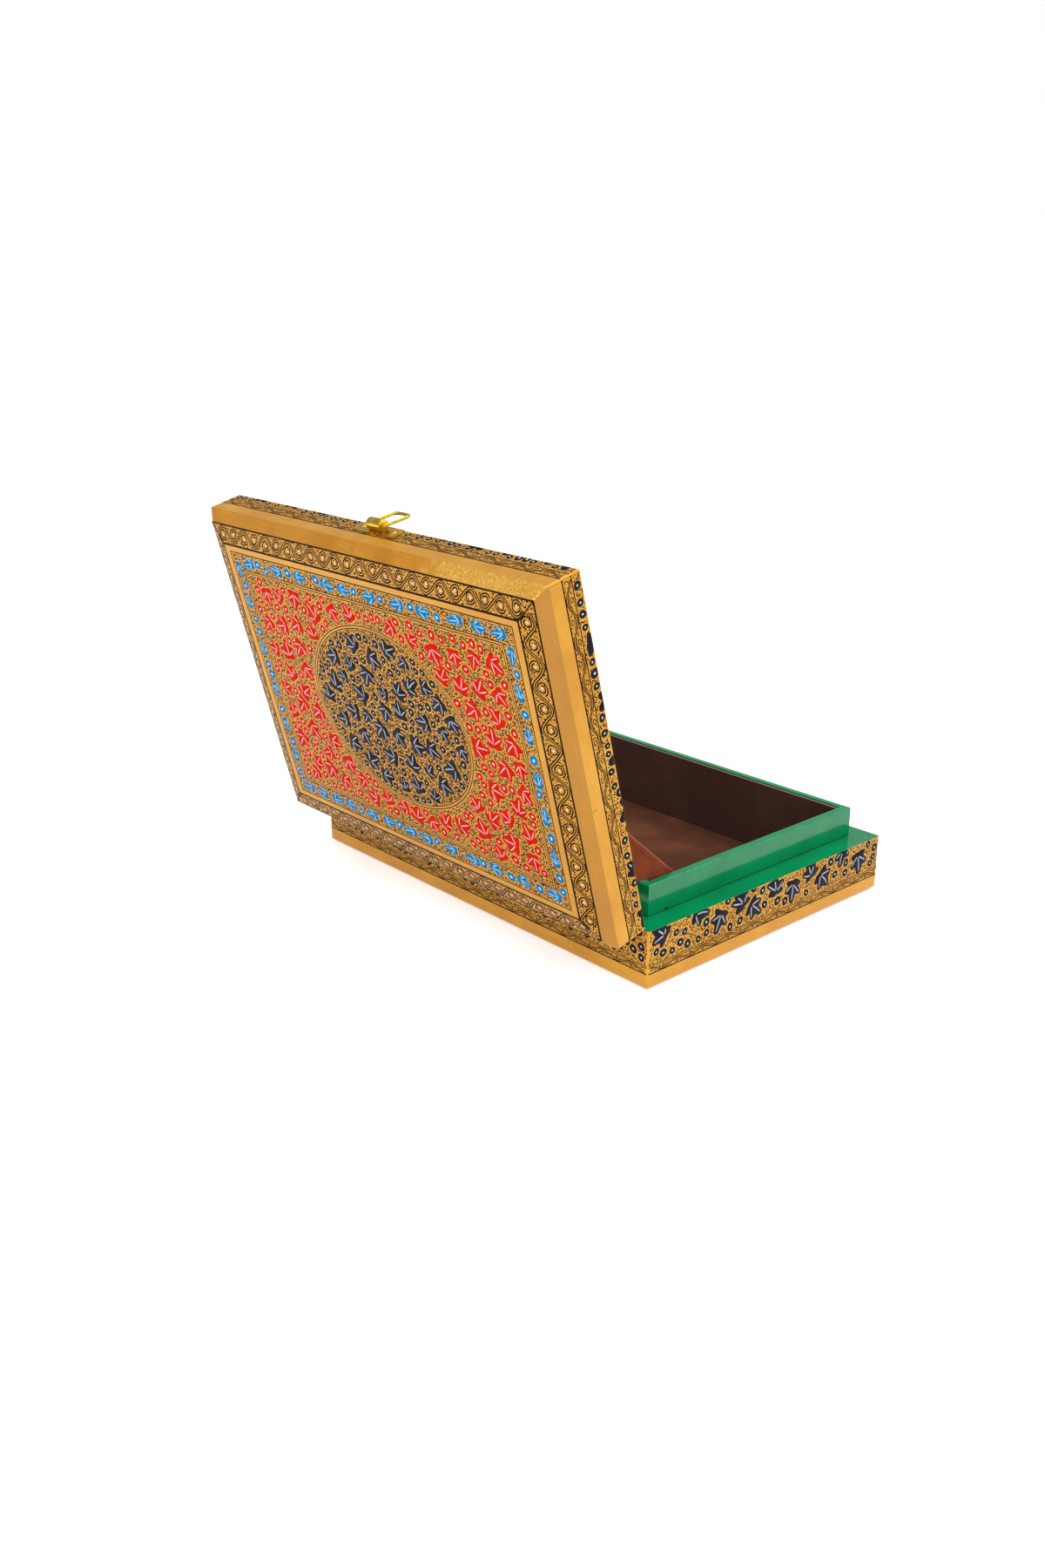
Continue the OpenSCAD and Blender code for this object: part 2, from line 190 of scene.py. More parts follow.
def gold_colour(n, turn):
    """Brushed gold paint: broad clouds, brush streaks along the length and fine speckle."""
    place = n.place(turn=turn)
    cloud = n.noise(place, 0.05, 3, 0.55)
    streak = n.noise(n.place(turn=turn, stretch=(0.05, 1, 1)), 1.4, 3, 0.6)
    speck = n.noise(place, 2.6, 2, 0.6)
    base = n.mix(n.range(cloud, 0.35, 0.68), GOLD_DEEP, GOLD_PALE)
    base = n.mix(0.45, base, GOLD)
    base = n.mix(n.range(streak, 0.35, 0.7, 0, 0.45), base, GOLD_DEEP)
    base = n.mix(n.range(speck, 0.55, 0.75, 0, 0.35), base, GOLD_PALE)
    return base, cloud, streak, speck


def gold_finish(n, colour, cloud, streak, speck):
    height = n.math("ADD", n.times(streak, 0.6), n.times(speck, 0.5))
    n.shader(Base_Color=colour, Metallic=GOLD_METAL, Roughness=n.range(cloud, 0.3, 0.7, 0.34, 0.5),
             Normal=n.bump(height, 0.25, 0.00012), Coat_Weight=0.12, Coat_Roughness=0.12,
             Specular_IOR_Level=0.3)


def enamel_colour(n, place):
    cloud = n.noise(place, 0.06, 2, 0.5)
    return n.mix(n.range(cloud, 0.35, 0.65), GREEN_DEEP, GREEN)


def bevel_colour(n, colour):
    """The lid's steep bevel: darkened as painted shade and browner on the short sides, with a speckled foil
    patch at one end of the front side, brightened as a painted highlight.
    """
    place = n.place(turn=LID_TURN)
    x, y, z = n.xyz(place)
    bevel = n.math("LESS_THAN", z, BEVEL_TOP - 0.03)
    # painted shade: the whole bevel darkened, and the short sides browner in streaks
    bevel_shade_and_foil = n.mix(1.0, colour, linear((243, 232, 206)), "MULTIPLY")
    stroke = n.noise(n.place(turn=LID_TURN, stretch=(1, 0.06, 1)), 0.8, 3, 0.6)
    brown = n.mix(n.range(stroke, 0.3, 0.7, 0.55, 1.0), bevel_shade_and_foil, linear((166, 118, 52)))
    at_side = n.math("GREATER_THAN", n.size(x),
                     n.math("ADD", n.size(y), (BOX_W - BOX_D) / 2))
    bevel_shade_and_foil = n.mix(n.times(at_side, 0.75), bevel_shade_and_foil, brown)
    # a speckled foil patch on the front bevel, made paler than the gold as a painted highlight
    wander = n.range(n.noise(place, 0.22, 3, 0.6), 0.3, 0.7, -FOIL_WANDER, FOIL_WANDER)
    foil_glint = n.times(n.range(n.math("ADD", x, wander), FOIL_X - 4, FOIL_X + 4, 1, 0),
                  n.math("LESS_THAN", y, -BOX_D / 2 + BEVEL_IN))
    foil_glint = n.times(foil_glint, n.math("SUBTRACT", 1.0, at_side))
    crumbs = n.range(n.noise(place, 1.1, 4, 0.75), 0.46, 0.6, 0, 1)
    foil_glint_colour = n.mix(crumbs, linear((206, 150, 44)), linear((240, 204, 104)))
    bevel_shade_and_foil = n.mix(n.times(foil_glint, 0.65), bevel_shade_and_foil, foil_glint_colour)
    return n.mix(bevel, colour, bevel_shade_and_foil), n.times(foil_glint, crumbs)


def gold_material(name, turn, green_mask=None, bevel=False):
    """Gold lacquer. green_mask, if given, builds a value that is 1 where there is green enamel."""
    n = Nodes(name)
    colour, cloud, streak, speck = gold_colour(n, turn)
    scratch = n.noise(n.place(turn=turn, stretch=(0.5, 1, 0.12)), 0.55, 2, 0.4)
    colour = n.mix(n.range(scratch, 0.73, 0.76, 0, 0.45), colour, linear((112, 74, 30)))
    if bevel:
        colour, foil_glint = bevel_colour(n, colour)
        speck = n.math("ADD", speck, n.times(foil_glint, 1.5))
    if not turn:
        z = n.xyz(n.place())[2]
        # darker towards the bottom edge, over the lowest millimetre, in clouds
        foot_darkening = n.times(n.range(z, 0.25, 1.1, 1, 0), n.range(cloud, 0.35, 0.6, 0.25, 0.9))
        colour = n.mix(foot_darkening, colour, linear((128, 84, 40)))
    gold_finish(n, colour, cloud, streak, speck)
    if green_mask:
        mask = green_mask(n)
        n.shader(Base_Color=n.mix(mask, colour, enamel_colour(n, n.place(turn=turn))),
                 Metallic=n.range(mask, 0, 1, GOLD_METAL, 0.0),
                 Roughness=n.range(mask, 0, 1, 0.42, 0.1))
    return n.mat


def base_wall_mask(n):
    """Green on the ledge's top, with a painter's slightly wavering edge."""
    place = n.place()
    wobble = n.times(n.math("SUBTRACT", n.noise(place, 0.25, 2), 0.5), 0.25)
    return n.math("GREATER_THAN", n.math("ADD", n.xyz(place)[2], wobble), LEDGE_H - 0.06)


def lid_frame_mask(n):
    """Green inside the lid's recess and on its rim."""
    x, y, z = n.xyz(n.place(turn=LID_TURN))
    mask = n.math("LESS_THAN", z, CEILING_Z + 0.01)
    for axis, size in ((x, BOX_W), (y, BOX_D)):
        mask = n.times(mask, n.math("LESS_THAN", n.size(axis), size / 2 - 0.7))
    return mask


def enamel_material():
    n = Nodes("green_enamel")
    place = n.place()
    x, y, z = n.xyz(place)
    brush = n.noise(n.place(stretch=(0.08, 0.08, 1)), 1.1, 2, 0.5)
    # painted shade in the crease where the lip meets the ledge, and one knock in it
    shade = n.range(z, LEDGE_H + 0.25, LEDGE_H + 0.7, 0.75, 0)
    colour = n.mix(shade, enamel_colour(n, place), linear((10, 70, 44)))
    knock = n.add("ShaderNodeVectorMath", {0: place, 1: (-BOX_W / 2 + LEDGE_W, KNOCK_Y, LEDGE_H + 0.3)},
                  operation="DISTANCE").outputs["Value"]
    knock = n.math("ADD", knock, n.range(n.noise(place, 1.1, 2), 0.3, 0.7, -0.5, 0.5))
    # a painted highlight along the lip's sharp upper edges, broken up by noise
    rim_glint_x, rim_glint_y = (n.range(n.size(axis), size / 2 - LEDGE_W - 0.35, size / 2 - LEDGE_W - 0.1)
                      for axis, size in ((x, BOX_W), (y, BOX_D)))
    edge = n.times(n.math("MAXIMUM", rim_glint_x, rim_glint_y), n.range(z, LIP_TOP - 0.4, LIP_TOP - 0.15))
    edge = n.times(edge, n.range(n.noise(place, 0.3, 3, 0.6), 0.4, 0.6, 0.1, 0.75))
    colour = n.mix(edge, colour, linear((118, 206, 160)))
    colour = n.mix(n.range(knock, 0.8, 1.1, 0.9, 0), colour, linear((8, 34, 24)))
    n.shader(Base_Color=colour, Roughness=n.range(brush, 0.3, 0.7, 0.08, 0.15),
             Normal=n.bump(brush, 0.05, 0.0001), Specular_IOR_Level=0.36)
    return n.mat


def velvet_material(name, dark, light, edge=False):
    """Brushed velvet. edge adds the pale cut edge along the top of a wall lining."""
    n = Nodes(name)
    place = n.place()
    nap = n.noise(place, 0.03, 3, 0.6, 0.6)
    fuzz = n.noise(place, 3.0, 2, 0.7)
    colour = n.mix(n.range(nap, 0.4, 0.62), linear(dark), linear(light))
    colour = n.mix(n.range(fuzz, 0.4, 0.7, 0, 0.35), colour, linear(dark))
    if edge:
        at_top = n.math("GREATER_THAN", n.xyz(place)[2], LINING_TOP - 0.12)
        colour = n.mix(at_top, colour, linear((158, 122, 110)))
    n.shader(Base_Color=colour, Roughness=0.95, Normal=n.bump(fuzz, 0.6, 0.0003),
             Specular_IOR_Level=0.1, Sheen_Weight=0.35, Sheen_Roughness=0.45, Sheen_Tint=linear((190, 120, 90)))
    return n.mat


def brass_material(name, metal, rough, relief):
    n = Nodes(name)
    place = n.place()
    cloud = n.noise(place, 0.5, 3, 0.6)
    scratch = n.noise(n.place(stretch=(0.2, 3, 3)), 4.0, 2, 0.6)
    colour = n.mix(n.range(cloud, 0.35, 0.65), linear((196, 152, 40)), linear((232, 196, 84)))
    n.shader(Base_Color=colour, Metallic=metal, Roughness=n.range(cloud, 0.3, 0.7, rough, rough + 0.14),
             Normal=n.bump(scratch, relief, 0.00008))
    return n.mat


def stay_material():
    """Woven cloth with a thin pale free edge and a stitched fold behind it."""
    n = Nodes("rust_cloth")
    uv = n.add("ShaderNodeUVMap", uv_map="cloth").outputs["UV"]
    weave = n.add("ShaderNodeMapping", {"Vector": uv, "Scale": (1000, 1000, 1000)})
    threads = n.times(*(
        n.add("ShaderNodeTexWave", {"Vector": weave, "Scale": 0.9, "Distortion": 0.6, "Detail": 1.0},
              bands_direction=way).outputs["Fac"] for way in "XY"))
    cloud = n.noise(n.place(), 0.12, 3)
    colour = n.mix(n.range(cloud, 0.35, 0.65), linear((122, 52, 20)), linear((146, 64, 28)))
    colour = n.mix(n.range(threads, 0, 0.6, 0.3, 0), colour, linear((78, 32, 20)))
    inset = n.xyz(n.add("ShaderNodeUVMap", uv_map="hem"))[0]     # metres from the free edge
    colour = n.mix(n.range(inset, 0.0004, 0.0007, 0.55, 0), colour, linear((190, 112, 72)))
    fold = n.math("COMPARE", inset, 0.0026)
    fold.node.inputs[2].default_value = 0.00022
    colour = n.mix(n.times(fold, 0.5), colour, linear((84, 34, 18)))
    n.shader(Base_Color=colour, Roughness=0.85, Normal=n.bump(threads, 0.5, 0.0002),
             Sheen_Weight=0.05, Sheen_Roughness=0.4, Specular_IOR_Level=0.2)
    return n.mat


def paint(name, rgb, rgb2, rough=0.45, shine=0.25):
    """Hand-laid paint under varnish: two close tones in small clouds."""
    n = Nodes(name)
    cloud = n.noise(n.place(), 0.55, 2, 0.6)
    n.shader(Base_Color=n.mix(n.range(cloud, 0.38, 0.62), linear(rgb), linear(rgb2)), Roughness=rough,
             Specular_IOR_Level=shine)
    return n.mat


PAINTS = {
    "ink": paint("ink_brown", (52, 32, 22), (34, 20, 16), 0.6, 0.06),
    "black": paint("leaf_black", (30, 29, 34), (22, 21, 26), 0.55, 0.08),
    "vein_black": paint("vein_grey_blue", (188, 190, 212), (158, 160, 188)),
    "dot": paint("dot_white", (226, 230, 240), (200, 206, 222)),
    "red": paint("leaf_red", (222, 34, 6), (200, 22, 4), 0.55, 0.04),
    "vein_red": paint("vein_pink", (255, 196, 192), (250, 168, 164)),
    "dot_red": paint("dot_pale_pink", (255, 222, 222), (250, 196, 192)),
    "blue": paint("leaf_blue", (0, 136, 196), (0, 118, 180), 0.55, 0.04),
    "vein_blue": paint("vein_pale_blue", (170, 222, 252), (136, 204, 246)),
    "dot_blue": paint("dot_pale_blue", (226, 242, 255), (196, 226, 250)),
}
PAINT_ORDER = list(PAINTS)

WEAR = (
    (["lid_top"], gold_material("gold_lacquer_lid", LID_TURN, bevel=True)),
    (["base_bottom"], gold_material("gold_lacquer_base", 0.0)),
    (["base_walls"], gold_material("gold_lacquer_walls", 0.0, base_wall_mask)),
    (["lid_frame"], gold_material("gold_lacquer_frame", LID_TURN, lid_frame_mask)),
    (["lip_frame"], enamel_material()),
    (["front_lining", "back_lining", "left_lining", "right_lining"],
     velvet_material("wall_velvet_brown", (74, 49, 43), (86, 58, 51), edge=True)),
    (["floor_lining"], velvet_material("floor_velvet_brown", (80, 47, 33), (108, 64, 45))),
    (["lid_lining"], velvet_material("lid_velvet_brown", (62, 40, 33), (74, 48, 40))),
    ([n for n in nodes if "hasp" in n or "catch" in n],
     brass_material("polished_brass", 1.0, 0.16, 0.12)),
    ([n for n in nodes if "hinge" in n], brass_material("dull_brass", 0.6, 0.36, 0.03)),
)
cloth = stay_material()

for names, material in WEAR:
    for name in names:
        mesh = nodes[name].data
        if not mesh.materials:
            mesh.materials.append(material)
        for i in range(len(mesh.materials)):
            mesh.materials[i] = material


# ---------------------------------------------------------------- where paint goes

def shut_to_rest(points):
    """Points on the shut lid, moved to where the open lid has them."""
    c, s = math.cos(OPEN_ANGLE), math.sin(OPEN_ANGLE)
    dy, dz = points[:, 1] - HINGE_Y, points[:, 2] - HINGE_Z
    return np.stack([points[:, 0], HINGE_Y + dy * c + dz * s, HINGE_Z - dy * s + dz * c], 1)


class Patch:
    """A flat face of the box that is painted: u runs along it, v across it, h stands out of it.
    shift is taken off a painter's v where its room starts below the patch."""

    def __init__(self, origin, u, v, on_lid, atlas=0.0, shift=0.0):
        self.o, self.u, self.v = (np.array(a, float) for a in (origin, u, v))
        self.n = np.cross(self.u, self.v)
        self.on_lid, self.atlas, self.shift = on_lid, atlas, shift

    def place(self, uvh):
        p = self.o + uvh[:, :1] * self.u + uvh[:, 1:2] * self.v + uvh[:, 2:] * self.n
        return (shut_to_rest(p) if self.on_lid else p) * MM


def sideways(pts, closed=False):
    """Unit vectors across a path."""
    way = np.roll(pts, -1, 0) - np.roll(pts, 1, 0) if closed else np.gradient(pts, axis=0)
    way /= np.maximum(np.linalg.norm(way, axis=1, keepdims=True), 1e-9)
    return np.stack([-way[:, 1], way[:, 0]], 1)


# Each side: direction along it, direction inwards, half its length, its distance from the middle
SIDES = [
    ((1, 0, 0), (0, 1, 0), BOX_W / 2, BOX_D / 2),
    ((0, 1, 0), (-1, 0, 0), BOX_D / 2, BOX_W / 2),
    ((-1, 0, 0), (0, -1, 0), BOX_W / 2, BOX_D / 2),
    ((0, -1, 0), (1, 0, 0), BOX_D / 2, BOX_W / 2),
]
LOW, HIGH = -0.02, 0.05           # paint reaches from just inside the ground to this height
VEIN_LOW, VEIN_HIGH = 0.03, 0.09  # veins lie on the leaves


class Piece:
    """Collects painted strokes and shapes, and turns them into one mesh."""

    def __init__(self, name, body):
        self.name, self.body = name, body
        self.verts, self.uvs, self.loops, self.sizes, self.slots = [], [], [], [], []
        self.count = 0

    def add(self, patch, uvh, faces, paint_name):
        uvh = np.asarray(uvh, float)
        self.verts.append(patch.place(uvh))
        scale = 1 / (BOX_W + 4)
        self.uvs.append(np.stack([(uvh[:, 0] + BOX_W / 2 + 2) * scale,
                                  (uvh[:, 1] + patch.atlas) * scale], 1))
        slot = PAINT_ORDER.index(paint_name)
        for f in faces:
            self.loops.extend(i + self.count for i in f)
            self.sizes.append(len(f))
            self.slots.append(slot)
        self.count += len(uvh)

    def blob(self, patch, outline, paint_name, low=LOW, high=HIGH, inset=0.95):
        """A filled shape with its edge sloped in."""
        outline = np.asarray(outline, float)
        n = len(outline)
        mid = outline.mean(0)
        top = mid + (outline - mid) * inset
        uvh = np.concatenate([np.c_[outline, np.full(n, low)], np.c_[top, np.full(n, high)]])
        faces = [(i, (i + 1) % n, n + (i + 1) % n, n + i) for i in range(n)]
        faces += [tuple(range(n, 2 * n)), tuple(range(n - 1, -1, -1))]
        self.add(patch, uvh, faces, paint_name)

    def stroke(self, patch, pts, width, paint_name, low=LOW, high=HIGH, ends="point", ground=0.0):
        """A brush stroke with a ridged section, its width measured where it leaves the ground.
        ends is point, flat or closed."""
        pts = np.asarray(pts, float)
        n = len(pts)
        width = np.broadcast_to(np.asarray(width, float), (n,)) * (high - low) / (high - ground)
        side = sideways(pts, ends == "closed") * width[:, None] / 2
        # each section is left, right, ridge
        sections = np.stack([np.c_[pts + side, np.full(n, low)], np.c_[pts - side, np.full(n, low)],
                             np.c_[pts, np.full(n, high)]], 1)
        if ends == "point":
            if n < 3:
                return
            z = 3 * (n - 3)
            s, e = z + 3, z + 4
            uvh = np.concatenate([sections[1:-1].reshape(-1, 3), [[*pts[0], low], [*pts[-1], low]]])
            links = n - 3
            caps = [(s, 2, 0), (s, 1, 2), (s, 0, 1),
                    (z, z + 2, e), (z + 2, z + 1, e), (z + 1, z, e)]
        else:
            uvh = sections.reshape(-1, 3)
            links, e = (n, 0) if ends == "closed" else (n - 1, 3 * (n - 1))
            caps = [(0, 1, 2), (e, e + 2, e + 1)] if e else []
        faces = []
        for i in range(links):
            a, b = 3 * i, 3 * ((i + 1) % n)
            faces += [(a, a + 2, b + 2, b), (a + 2, a + 1, b + 1, b + 2), (a + 1, a, b, b + 1)]
        self.add(patch, uvh, faces + caps, paint_name)

    def build(self):
        mesh = bpy.data.meshes.new(self.name)
        verts = np.concatenate(self.verts).astype(np.float32)
        loops, sizes = np.array(self.loops, np.int32), np.array(self.sizes, np.int32)
        mesh.vertices.add(len(verts))
        mesh.vertices.foreach_set("co", verts.ravel())
        mesh.loops.add(len(loops))
        mesh.loops.foreach_set("vertex_index", loops)
        mesh.polygons.add(len(sizes))
        starts = np.concatenate([[0], np.cumsum(sizes)[:-1]])
        mesh.polygons.foreach_set("loop_start", starts.astype(np.int32))
        used = sorted(set(self.slots))
        for s in used:
            mesh.materials.append(PAINTS[PAINT_ORDER[s]])
        slots = np.searchsorted(used, self.slots)
        mesh.polygons.foreach_set("material_index", slots.astype(np.int32))
        mesh.update(calc_edges=True)
        uv = mesh.uv_layers.new(name="OFBake")
        uv.data.foreach_set("uv", np.concatenate(self.uvs)[loops].astype(np.float32).ravel())
        obj = new_object(self.name, mesh)
        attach(obj, self.body)


class Room:
    """A raster of where paint may still go, in one patch's own millimetres."""

    CELL = 0.125

    def __init__(self, u0, u1, v0, v1):
        self.u0, self.v0 = u0, v0
        self.h, self.w = int((v1 - v0) / self.CELL) + 1, int((u1 - u0) / self.CELL) + 1
        self.free = np.ones((self.h, self.w), bool)
        self.discs = {}

    def cells(self, u, v):
        return (np.floor((v - self.v0) / self.CELL).astype(int),
                np.floor((u - self.u0) / self.CELL).astype(int))

    def spots(self, u, v):
        """Whether each of many points is free."""
        i, j = self.cells(u, v)
        inside = (i >= 0) & (j >= 0) & (i < self.h) & (j < self.w)
        return inside & self.free[np.clip(i, 0, self.h - 1), np.clip(j, 0, self.w - 1)]

    def spot(self, u, v):
        i, j = int((v - self.v0) // self.CELL), int((u - self.u0) // self.CELL)
        return 0 <= i < self.h and 0 <= j < self.w and self.free[i, j]

    def is_free(self, pts):
        return bool(self.spots(pts[:, 0], pts[:, 1]).all())

    def centres(self, i0=0, i1=None, j0=0, j1=None):
        """Where the middles of a block of cells lie."""
        u = self.u0 + (np.arange(j0, self.w if j1 is None else j1) + 0.5) * self.CELL
        v = self.v0 + (np.arange(i0, self.h if i1 is None else i1) + 0.5) * self.CELL
        return np.meshgrid(u, v)

    def block(self, mask):
        self.free &= ~mask

    def block_shape(self, outline):
        (j0, i0), (j1, i1) = ((edge - [self.u0, self.v0]) / self.CELL
                              for edge in (outline.min(0), outline.max(0)))
        i0, j0 = max(0, int(i0)), max(0, int(j0))
        i1, j1 = min(self.h, int(i1) + 2), min(self.w, int(j1) + 2)
        if j1 <= j0 or i1 <= i0:
            return
        uu, vv = self.centres(i0, i1, j0, j1)
        inside = np.zeros(uu.shape, bool)
        for (x1, y1), (x2, y2) in zip(outline, np.roll(outline, -1, 0)):
            if y1 != y2:
                inside ^= ((y1 > vv) != (y2 > vv)) & (uu < (x2 - x1) * (vv - y1) / (y2 - y1) + x1)
        self.free[i0:i1, j0:j1] &= ~inside

    def block_path(self, pts, radius):
        key = round(radius, 3)
        if key not in self.discs:
            r = int(radius / self.CELL + 0.5)
            di, dj = np.mgrid[-r:r + 1, -r:r + 1]
            keep = di ** 2 + dj ** 2 <= (radius / self.CELL) ** 2
            self.discs[key] = (di[keep], dj[keep])
        di, dj = self.discs[key]
        i, j = self.cells(*dense(pts, self.CELL * 1.5).T)
        self.free[np.clip(i[:, None] + di, 0, self.h - 1),
                  np.clip(j[:, None] + dj, 0, self.w - 1)] = False


def dense(pts, step):
    """Points no further apart than step along a path."""
    pts = np.asarray(pts, float)
    gaps = np.linalg.norm(np.diff(pts, axis=0), axis=1)
    total = np.concatenate([[0], np.cumsum(gaps)])
    n = max(2, int(total[-1] / step) + 2)
    at = np.linspace(0, total[-1], n)
    return np.stack([np.interp(at, total, pts[:, 0]), np.interp(at, total, pts[:, 1])], 1)


def ellipse(a, b, n):
    t = np.linspace(0, math.tau, n, endpoint=False)
    return np.stack([a * np.cos(t), b * np.sin(t)], 1)


def turned(pts, angle, scale=1.0, at=(0, 0), flip=1):
    """Points mirrored, scaled, turned and moved."""
    c, s = math.cos(angle), math.sin(angle)
    p = np.asarray(pts, float) * scale * [flip, 1]
    p = np.stack([p[:, 0] * c - p[:, 1] * s, p[:, 0] * s + p[:, 1] * c], 1) + at
    return p[::-1] if flip < 0 else p


def bezier(a, b, c, n):
    t = np.linspace(0, 1, n + 2)[1:-1, None]
    return (1 - t) ** 2 * a + 2 * t * (1 - t) * b + t ** 2 * c


def polar(deg, r):
    """A point at an angle measured from a leaf's own axis."""
    a = math.radians(deg)
    return np.array([math.sin(a) * r, math.cos(a) * r])


# Angles and lengths of the three veins, how deep the notches are, share of the short lobes
LEAF_FORMS = {
    "red": (((-53, 0, 53), (-46, 0, 57), (-58, 0, 48)),
            ((5.0, 6.5, 5.0), (5.5, 6.6, 4.6), (4.6, 6.7, 5.3)), 0.89, 0.7),
    "black": (((-52, 0, 50), (-44, 0, 58), (-58, 0, 44)),
              ((5.1, 6.7, 5.1), (5.5, 6.7, 4.6), (4.5, 6.7, 5.5)), 0.86, 0.7),
    "blue": (((-37, 0, 37), (-40, 0, 34), (-34, 0, 40)),
             ((4.7, 7.2, 4.7), (4.4, 7.4, 5.0), (5.0, 7.2, 4.4)), 0.9, 0.42),
}
VEIN_WIDTH = np.array([0.0, 0.44, 0.54, 0.58, 0.6, 0.56, 0.0])
LEAF_MIDDLE = 2.7     # from the node of the veins to the middle of the leaf


def leaf_arms(rng, colour):
    """Angles and lengths of a leaf's three veins, from the node where they meet."""
    forms, lengths, *shape = LEAF_FORMS[colour]
    k = rng.integers(3)
    arms = [(a + rng.uniform(-5, 5), r * rng.uniform(0.93, 1.07))
            for a, r in zip(forms[k], lengths[k])]
    return arms, shape


def leaf_outline(arms, shape, rng):
    """A leaf round its three veins, with a short lobe on each side of the node and a flat foot."""
    notch, short = shape
    lobes = [(arms[0][0] - rng.uniform(44, 54), arms[0][1] * short * rng.uniform(0.92, 1.08)), *arms,
             (arms[2][0] + rng.uniform(44, 54), arms[2][1] * short * rng.uniform(0.92, 1.08))]
    out = []
    for i, (deg, r) in enumerate(lobes):
        tip = r + 0.65
        out += [(deg - 10, 0.92 * tip), (deg, tip), (deg + 10, 0.92 * tip)]
        if i < 4:
            deg2, r2 = lobes[i + 1]
            out.append((deg + rng.uniform(0.43, 0.57) * (deg2 - deg),
                        min(r, r2) * notch * rng.uniform(0.95, 1.06)))
    out += [(142, 2.3 * rng.uniform(0.9, 1.1)), (180, 1.5), (218, 2.3 * rng.uniform(0.9, 1.1))]
    return np.array([polar(a, r) for a, r in out])[::-1]


def leaf_veins(arms, rng):
    """Slightly bent lines from the tips to the node."""
    out, node = [], np.zeros(2)
    for deg, length in arms:
        tip = polar(deg, length)
        bend = rng.uniform(-0.5, 0.5) + 0.3 * (1 if deg > 0 else -1)
        mid = (tip + node) / 2 + np.array([tip[1], -tip[0]]) / length * bend
        out.append(np.array([tip, *bezier(tip, mid, node, 5), node]))
    return out


def berry_outline():
    """An egg, wider at the bottom."""
    x, y = ellipse(1, 1, 14).T
    return np.stack([1.66 * x * (1 - 0.12 * y), 1.92 * y + 0.1], 1)


def grown(outline, margin):
    """An outline pushed out from its middle by about margin."""
    mid = outline.mean(0)
    d = outline - mid
    return mid + d * (1 + margin / np.maximum(np.linalg.norm(d, axis=1, keepdims=True), 0.5))


def cut_shape(poly, level, keep_above):
    """The parts of a closed outline above or below v = level."""
    side = (poly[:, 1] - level) * (1 if keep_above else -1)
    if (side >= 0).all():
        return [poly]
    if (side < 0).all():
        return []
    chains, chain, n = [], None, len(poly)
    start = next(i for i in range(n) if side[i] < 0 and side[(i + 1) % n] >= 0)
    for k in range(n + 1):
        i, j = (start + k) % n, (start + k + 1) % n
        a, b = side[i], side[j]
        if a < 0 <= b:
            chain = [poly[i] + (poly[j] - poly[i]) * (-a) / (b - a)]
        if b >= 0 and chain is not None and k < n:
            chain.append(poly[j])
        if a >= 0 > b and chain is not None:
            chain.append(poly[i] + (poly[j] - poly[i]) * a / (a - b))
            chains.append(chain)
            chain = None
    crossings = sorted((c[e][0], k, e) for k, c in enumerate(chains) for e in (0, -1))
    partner = {}
    for (_, *a), (_, *b) in zip(crossings[::2], crossings[1::2]):
        partner[tuple(a)], partner[tuple(b)] = b, a
    out, left = [], set(range(len(chains)))
    while left:
        k = first = left.pop()
        loop = list(chains[k])
        for _ in range(len(chains)):
            nk, ne = partner[(k, -1)]
            if nk == first or ne != 0 or nk not in left:
                break
            left.discard(nk)
            loop += chains[nk]
            k = nk
        if len(loop) >= 3:
            out.append(np.array(loop))
    return out


def cut_path(pts, level, keep_above):
    """The parts of a path above or below v = level."""
    keep = (pts[:, 1] - level) * (1 if keep_above else -1) >= 0.05
    cuts = np.flatnonzero(keep[1:] != keep[:-1]) + 1
    return [run for run, first in zip(np.split(pts, cuts), [0, *cuts])
            if keep[first] and len(run) >= 3]


def between(cut, shape, v0, v1):
    """What the function cut leaves of a shape between two levels."""
    return [bit for part in cut(shape, v0, True) for bit in cut(part, v1, False)]


